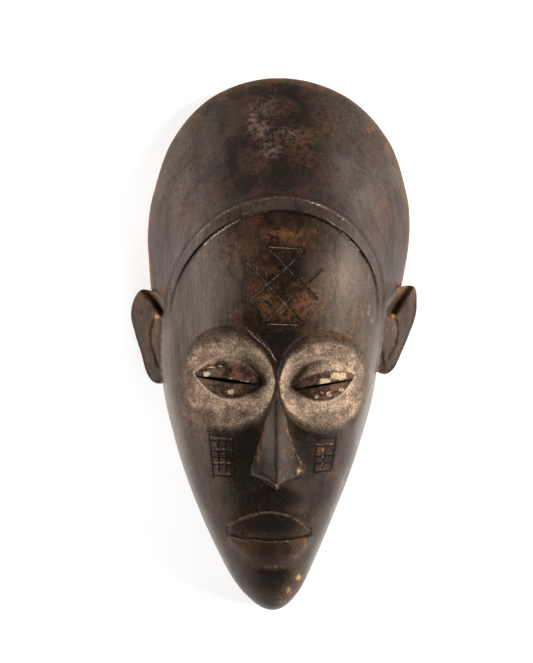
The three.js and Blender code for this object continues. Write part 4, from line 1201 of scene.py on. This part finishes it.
class Shade:
    """A value in a material's nodes, written as plain sums and products."""

    def __init__(self, nodes, socket):
        self.nodes = nodes
        self.socket = socket

    def __add__(self, other):
        return self.nodes.maths("ADD", self, other)

    def __sub__(self, other):
        return self.nodes.maths("SUBTRACT", self, other)

    def __rsub__(self, other):
        return self.nodes.maths("SUBTRACT", other, self)

    def __mul__(self, other):
        return self.nodes.maths("MULTIPLY", self, other)

    def climb(self, low, high, to_low=0, to_high=1):
        """A value that goes softly from one end to the other as this one climbs from low to high."""
        made = self.nodes.add("ShaderNodeMapRange", {
            "Value": self, "From Min": low, "From Max": high, "To Min": to_low, "To Max": to_high,
        }, interpolation_type="SMOOTHSTEP")
        return Shade(self.nodes, made.outputs["Result"])


class NodeTable:
    """A short way to write a material's nodes."""

    def __init__(self, name):
        self.material = bpy.data.materials.new(name)
        self.material.use_nodes = True
        self.tree = self.material.node_tree
        self.tree.nodes.clear()

    def add(self, kind, inputs=None, **settings):
        node = self.tree.nodes.new(kind)
        for name, value in settings.items():
            setattr(node, name, value)
        for name, value in (inputs or {}).items():
            self.feed(node.inputs[name], value)
        return node

    def feed(self, socket, value):
        value = value.socket if isinstance(value, Shade) else value
        if isinstance(value, bpy.types.NodeSocket):
            self.tree.links.new(value, socket)
        else:
            socket.default_value = value

    def maths(self, operation, a, b, clamped=False):
        made = self.add("ShaderNodeMath", {0: a, 1: b}, operation=operation, use_clamp=clamped)
        return Shade(self, made.outputs[0])

    def scaled(self, place, factors):
        return self.add("ShaderNodeVectorMath", {0: place, 1: factors}, operation="MULTIPLY").outputs[0]

    def layered(self, base, *coats):
        """A colour with others laid over it, each with its share."""
        for share, colour in coats:
            node = self.add("ShaderNodeMix", data_type="RGBA", clamp_factor=True)
            for socket, value in (("Factor", share), (6, base), (7, colour)):
                self.feed(node.inputs[socket], (*value, 1) if isinstance(value, tuple) else value)
            base = node.outputs[2]
        return base

    def painted(self):
        """The mesh's finish channels."""
        found = Sizes()
        for name, channels in CHANNELS.items():
            colour = self.add("ShaderNodeAttribute", attribute_name=name).outputs["Color"]
            parts = self.add("ShaderNodeSeparateColor", {"Color": colour})
            for channel, socket in zip(channels, parts.outputs):
                setattr(found, channel, Shade(self, socket))
        return found

    def noises(self):
        """The noises in the wood and the paint, by name."""
        found = Sizes()
        place = self.scaled(self.add("ShaderNodeTexCoord").outputs["Object"], (1 / MM, 1 / MM, 1 / MM))
        for name, (scale, detail, roughness, along, twist) in NOISES.items():
            node = self.add("ShaderNodeTexNoise", {
                "Vector": self.scaled(place, (1, along, 1)), "Scale": scale, "Detail": detail,
                "Roughness": roughness, "Distortion": twist,
            })
            setattr(found, name, Shade(self, node.outputs["Fac"]))
        return found

    def finished(self, **inputs):
        """The material, with a plain shader that takes these inputs."""
        shader = self.add("ShaderNodeBsdfPrincipled", {
            name.replace("_", " "): value for name, value in inputs.items()})
        self.add("ShaderNodeOutputMaterial", {"Surface": shader.outputs["BSDF"]})
        return self.material


# Noises: bumps per millimetre, detail, roughness, how far each is drawn out along Y, and twist
NOISES = {
    "grain": (0.7, 4, 0.6, 0.06, 0), "fibre": (1.1, 2, 0.5, 0.13, 0), "bands": (0.085, 4, 0.6, 0.3, 0),
    "broad": (0.024, 3, 0.5, 1, 0), "patch": (0.065, 4, 0.55, 1, 0.4), "mottle": (0.27, 5, 0.7, 1, 0),
    "speck": (0.62, 4, 0.75, 1, 0), "fine": (1.5, 3, 0.7, 1, 0), "rubbed": (0.6, 6, 0.72, 1, 0.6),
    "blots": (0.14, 4, 0.62, 1, 0.3),
}

# Colours as linear red, green and blue
BLACK_STAIN, BROWN_STAIN = (0.0066, 0.0038, 0.0022), (0.036, 0.0195, 0.0105)
RED_BROWN, WARM_BROWN = (0.06, 0.021, 0.011), (0.052, 0.019, 0.0105)
GREY_DUST_SHEEN, LIGHT_DUST_SHEEN, PALE_WEAR_AND_SHEEN = (0.038, 0.0285, 0.0228), (0.055, 0.042, 0.034), (0.15, 0.128, 0.11)
SHADE_BLACK, DARK_LINE_AND_SHADE, PIT_BLACK = (0.0042, 0.003, 0.0018), (0.0042, 0.003, 0.0022), (0.006, 0.0038, 0.0026)
PINK_WOOD, ORANGE_WOOD, RIM_WOOD = (0.155, 0.094, 0.069), (0.12, 0.053, 0.0215), (0.115, 0.056, 0.027)
RUBBED_EDGE, MIST = (0.13, 0.086, 0.058), (0.13, 0.093, 0.07)
WORN_WOOD, BARE_WOOD, FRESH_WOOD = (0.13, 0.082, 0.053), (0.29, 0.225, 0.155), (0.34, 0.17, 0.062)
SCUFF, NICK = (0.17, 0.13, 0.1), (0.2, 0.145, 0.105)
LID_DARK, LID_BROWN, LID_RED = (0.0095, 0.005, 0.0034), (0.07, 0.035, 0.0225), (0.085, 0.027, 0.0135)
LID_TAN, LID_BLACK = (0.19, 0.13, 0.088), (0.004, 0.003, 0.0025)
CHALK_DIRT, CHALK_TAN, CHALK_CREAM = (0.064, 0.04, 0.026), (0.2, 0.134, 0.089), (0.41, 0.302, 0.207)
CHALK_SOILED, CHALK_THIN, CHALK_RIM = (0.06, 0.039, 0.0275), (0.062, 0.041, 0.029), (0.38, 0.285, 0.21)
FLAKE_TAN, FLAKE_CREAM = (0.2, 0.128, 0.074), (0.36, 0.27, 0.172)
HOLLOW_BROWN, HOLLOW_LIGHT, HOLLOW_DARK = (0.06, 0.034, 0.02), (0.115, 0.07, 0.042), (0.04, 0.024, 0.016)
SPECULAR = Sizes(level=0.055, tint=(1, 0.88, 0.76, 1))


def stained(nodes, mark, noise):
    """Nearly black to brown, with streaks along the grain, red-brown patches, grey dust with painted sheen,
    painted shade and dark lines.
    """
    tone = (noise.broad * 0.4 + noise.bands * 0.42 + noise.mottle * 0.18
            + (noise.grain - 0.5) * mark.upper.climb(0, 1, 0.08, 0.2))
    red = noise.patch.climb(0.5, 0.62) * noise.mottle.climb(0.4, 0.58, 0.4, 1)
    grey = nodes.layered(GREY_DUST_SHEEN, (noise.grain.climb(0.4, 0.62), LIGHT_DUST_SHEEN))
    scuffed = noise.mottle * 0.5 + noise.rubbed * 0.5
    rub = mark.sharp.climb(0.04, 0.24) * noise.mottle.climb(0.38, 0.6, 0.4, 1)
    mist = noise.fine.climb(0.54, 0.66) * noise.rubbed.climb(0.5, 0.62)
    pits = noise.fine.climb(0.46, 0.36) * noise.mottle.climb(0.56, 0.44)
    return nodes.layered(
        BLACK_STAIN,
        (tone.climb(0.41, 0.59), BROWN_STAIN),
        (red * mark.upper.climb(0, 1, 0.25, 0.6), RED_BROWN),
        (mark.dust * noise.bands.climb(0.36, 0.6, 0.55, 0.95), grey),
        (mark.pale * noise.bands.climb(0.34, 0.6, 0.45, 0.75), PALE_WEAR_AND_SHEEN),
        (mark.shaded * 0.96, SHADE_BLACK),
        (red * mark.shaded * mark.upper.climb(0, 1, 0.05, 0.5), WARM_BROWN),
        (mark.pink * scuffed.climb(0.44, 0.58), PINK_WOOD),
        (mark.orange * scuffed.climb(0.44, 0.57), ORANGE_WOOD),
        (mark.rim * scuffed.climb(0.38, 0.58, 0.3, 0.85), RIM_WOOD),
        (rub * 0.8, RUBBED_EDGE), (mark.dark * 0.92, DARK_LINE_AND_SHADE),
        (mist * 0.42, MIST), (pits * 0.7, PIT_BLACK))


def light_wear(nodes, mark, noise, stain):
    """Light wear, broken into flecks, and scuffs and nicks outside the painted shade."""
    loose = (noise.speck - 0.5) * 1.8 + (noise.fine - 0.5) * 1.2
    wood = nodes.layered(WORN_WOOD, (mark.worn.climb(0.4, 0.7), BARE_WOOD),
                         (mark.orange.climb(0.3, 0.7), FRESH_WOOD))
    outside_shade = 1 - mark.shaded * 0.85
    scuffs = noise.fibre.climb(0.64, 0.72) * noise.patch.climb(0.46, 0.58, 0, 0.45)
    nicks = noise.speck.climb(0.68, 0.74) * noise.mottle.climb(0.5, 0.6, 0, 0.6)
    return nodes.layered(
        stain, ((mark.worn + loose).climb(0.4, 0.72) * mark.worn.climb(0.06, 0.25), wood),
        (scuffs * outside_shade, SCUFF), (nicks * outside_shade, NICK))


def lid_wood(nodes, mark, noise):
    """Red-brown, with tan specks."""
    crust = noise.blots * 0.6 + noise.rubbed * 0.4
    return nodes.layered(
        LID_DARK, (crust.climb(0.43, 0.55), LID_BROWN), (noise.speck.climb(0.58, 0.68, 0, 0.6), LID_RED),
        (noise.fine.climb(0.56, 0.68, 0, 0.35), LID_TAN), (mark.dark * 0.95, LID_BLACK))


def rubbed_kaolin(nodes, mark, noise):
    """Tan and cream with dirt between, and how much of it covers the wood."""
    dirt = noise.rubbed * 0.37 + noise.fine * 0.47 + noise.blots * 0.16
    soiled = noise.blots * 0.45 + noise.patch * 0.35 + noise.mottle * 0.2
    chalk = nodes.layered(
        CHALK_DIRT, (dirt.climb(0.4, 0.52), CHALK_TAN), (dirt.climb(0.49, 0.6), CHALK_CREAM),
        (soiled.climb(0.42, 0.54, 0.5, 0), CHALK_SOILED), (mark.kaolin.climb(0.4, 0.95, 0.8, 0), CHALK_THIN),
        (mark.rims * noise.fine.climb(0.35, 0.6, 0.2, 0.75), CHALK_RIM))
    grit = (noise.mottle - 0.5) * 0.9 + (dirt - 0.5) * 1.9
    cover = (mark.kaolin + grit).climb(0.16, 0.78) * mark.kaolin.climb(0.03, 0.22) * (1 - mark.dark * 0.7)
    return chalk, cover


def cream_flakes(nodes, mark, noise):
    chipped = mark.flake + (noise.rubbed - 0.5) * 2.8
    cream = nodes.layered(FLAKE_TAN, (noise.speck.climb(0.42, 0.6), FLAKE_CREAM))
    return chipped.climb(0.42, 0.62) * mark.flake.climb(0.1, 0.3), cream


def hollow_wood(nodes, noise):
    """Plain wood, browner and unpolished."""
    return nodes.layered(HOLLOW_BROWN, (noise.grain.climb(0.35, 0.7), HOLLOW_LIGHT),
                         (noise.patch.climb(0.45, 0.75, 0, 0.6), HOLLOW_DARK))


def carved_wood():
    """Dark stained wood with grain, dust, painted shade and sheen, worn edges and rubbed white kaolin."""
    nodes = NodeTable("carved_wood")
    mark, noise = nodes.painted(), nodes.noises()
    mark.dark = mark.dark * noise.speck.climb(0.34, 0.52, 0.5, 1)
    chalk, cover = rubbed_kaolin(nodes, mark, noise)
    surface = nodes.layered(
        light_wear(nodes, mark, noise, stained(nodes, mark, noise)),
        (mark.lids, lid_wood(nodes, mark, noise)), (cover, chalk), cream_flakes(nodes, mark, noise),
        (mark.bare, hollow_wood(nodes, noise)))
    gloss = noise.mottle.climb(0.3, 0.7, 0.27, 0.4)
    dulled = ((cover, 0.45), (mark.dark, 0.6), (mark.shaded, 0.2), (mark.bare, 0.25), (mark.lids, 0.12))
    for share, dulls in dulled:
        gloss = nodes.maths("ADD", gloss, share * dulls, clamped=True)
    relief = (noise.grain * 0.1 + noise.fibre * 0.05 + noise.patch * 0.4 + noise.mottle * 0.2
              + cover * (noise.speck * 0.5))
    bump = nodes.add("ShaderNodeBump", {"Height": relief, "Distance": MM, "Strength": 1})
    return nodes.finished(
        Base_Color=surface, Roughness=gloss, Normal=bump.outputs["Normal"],
        Specular_IOR_Level=SPECULAR.level, Specular_Tint=SPECULAR.tint)


mask = carved_mask()
write_finish(mask.data)
mask.data.materials.clear()
mask.data.materials.append(carved_wood())
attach(mask, "root")
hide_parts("mask")

# Camera: straight above, far away
PICTURE_HEIGHT = 663
MM_PER_PIXEL = 0.6767
CAMERA = (-5.1 * MM, 8.5 * MM, 6)
CLIP_END = 50
SENSOR = 24

camera_data = bpy.data.cameras.new("camera")
camera_data.sensor_fit = "VERTICAL"
camera_data.sensor_height = SENSOR
camera_data.lens = SENSOR * (CAMERA[2] - RIM_HEIGHT * MM) / (PICTURE_HEIGHT * MM_PER_PIXEL * MM)
camera_data.clip_end = CLIP_END
camera = placed("camera", camera_data)
camera.location = CAMERA
bpy.context.scene.camera = camera

FLOOR_REACH = 4000
FLOOR_FINISH = {"Base_Color": (0.95, 0.95, 0.95, 1), "Roughness": 0.9}


def floor():
    """A plain pale floor under the rim."""
    corners = FLOOR_REACH * np.array([(-1, -1, 0), (1, -1, 0), (1, 1, 0), (-1, 1, 0)])
    made = mesh_object("floor", corners, np.array([(0, 1, 2, 3)]))
    made.data.materials.append(NodeTable("pale_floor").finished(**FLOOR_FINISH))
    return made


floor()

# Soft panels: place, width, height and power
LIGHTS = {
    "left": ((-1.6, 0, 0.6), 1.4, 1, 68), "right": ((1.6, 0.1, 0.65), 1.4, 1, 94),
    "low": ((0.1, -1.7, 0.7), 1.4, 0.9, 10), "high": ((0, 1.8, 0.7), 1.4, 0.9, 7),
}
LIGHTS_FACE = (0, 0, 0.05)
WORLD_STRENGTH = 0.09


def soft_light(name, place, width, height, power):
    """A large soft panel that faces the mask."""
    data = bpy.data.lights.new(name, "AREA")
    data.shape = "RECTANGLE"
    data.size = width
    data.size_y = height
    data.energy = power
    light = placed(name, data)
    light.location = place
    light.rotation_euler = (Vector(LIGHTS_FACE) - Vector(place)).to_track_quat("-Z", "Y").to_euler()


for name, panel in LIGHTS.items():
    soft_light(name, *panel)

world = bpy.data.worlds.new("studio")
world.use_nodes = True
background = world.node_tree.nodes["Background"]
background.inputs["Color"].default_value = (1, 1, 1, 1)
background.inputs["Strength"].default_value = WORLD_STRENGTH
bpy.context.scene.world = world
bpy.context.scene.view_settings.view_transform = "Standard"
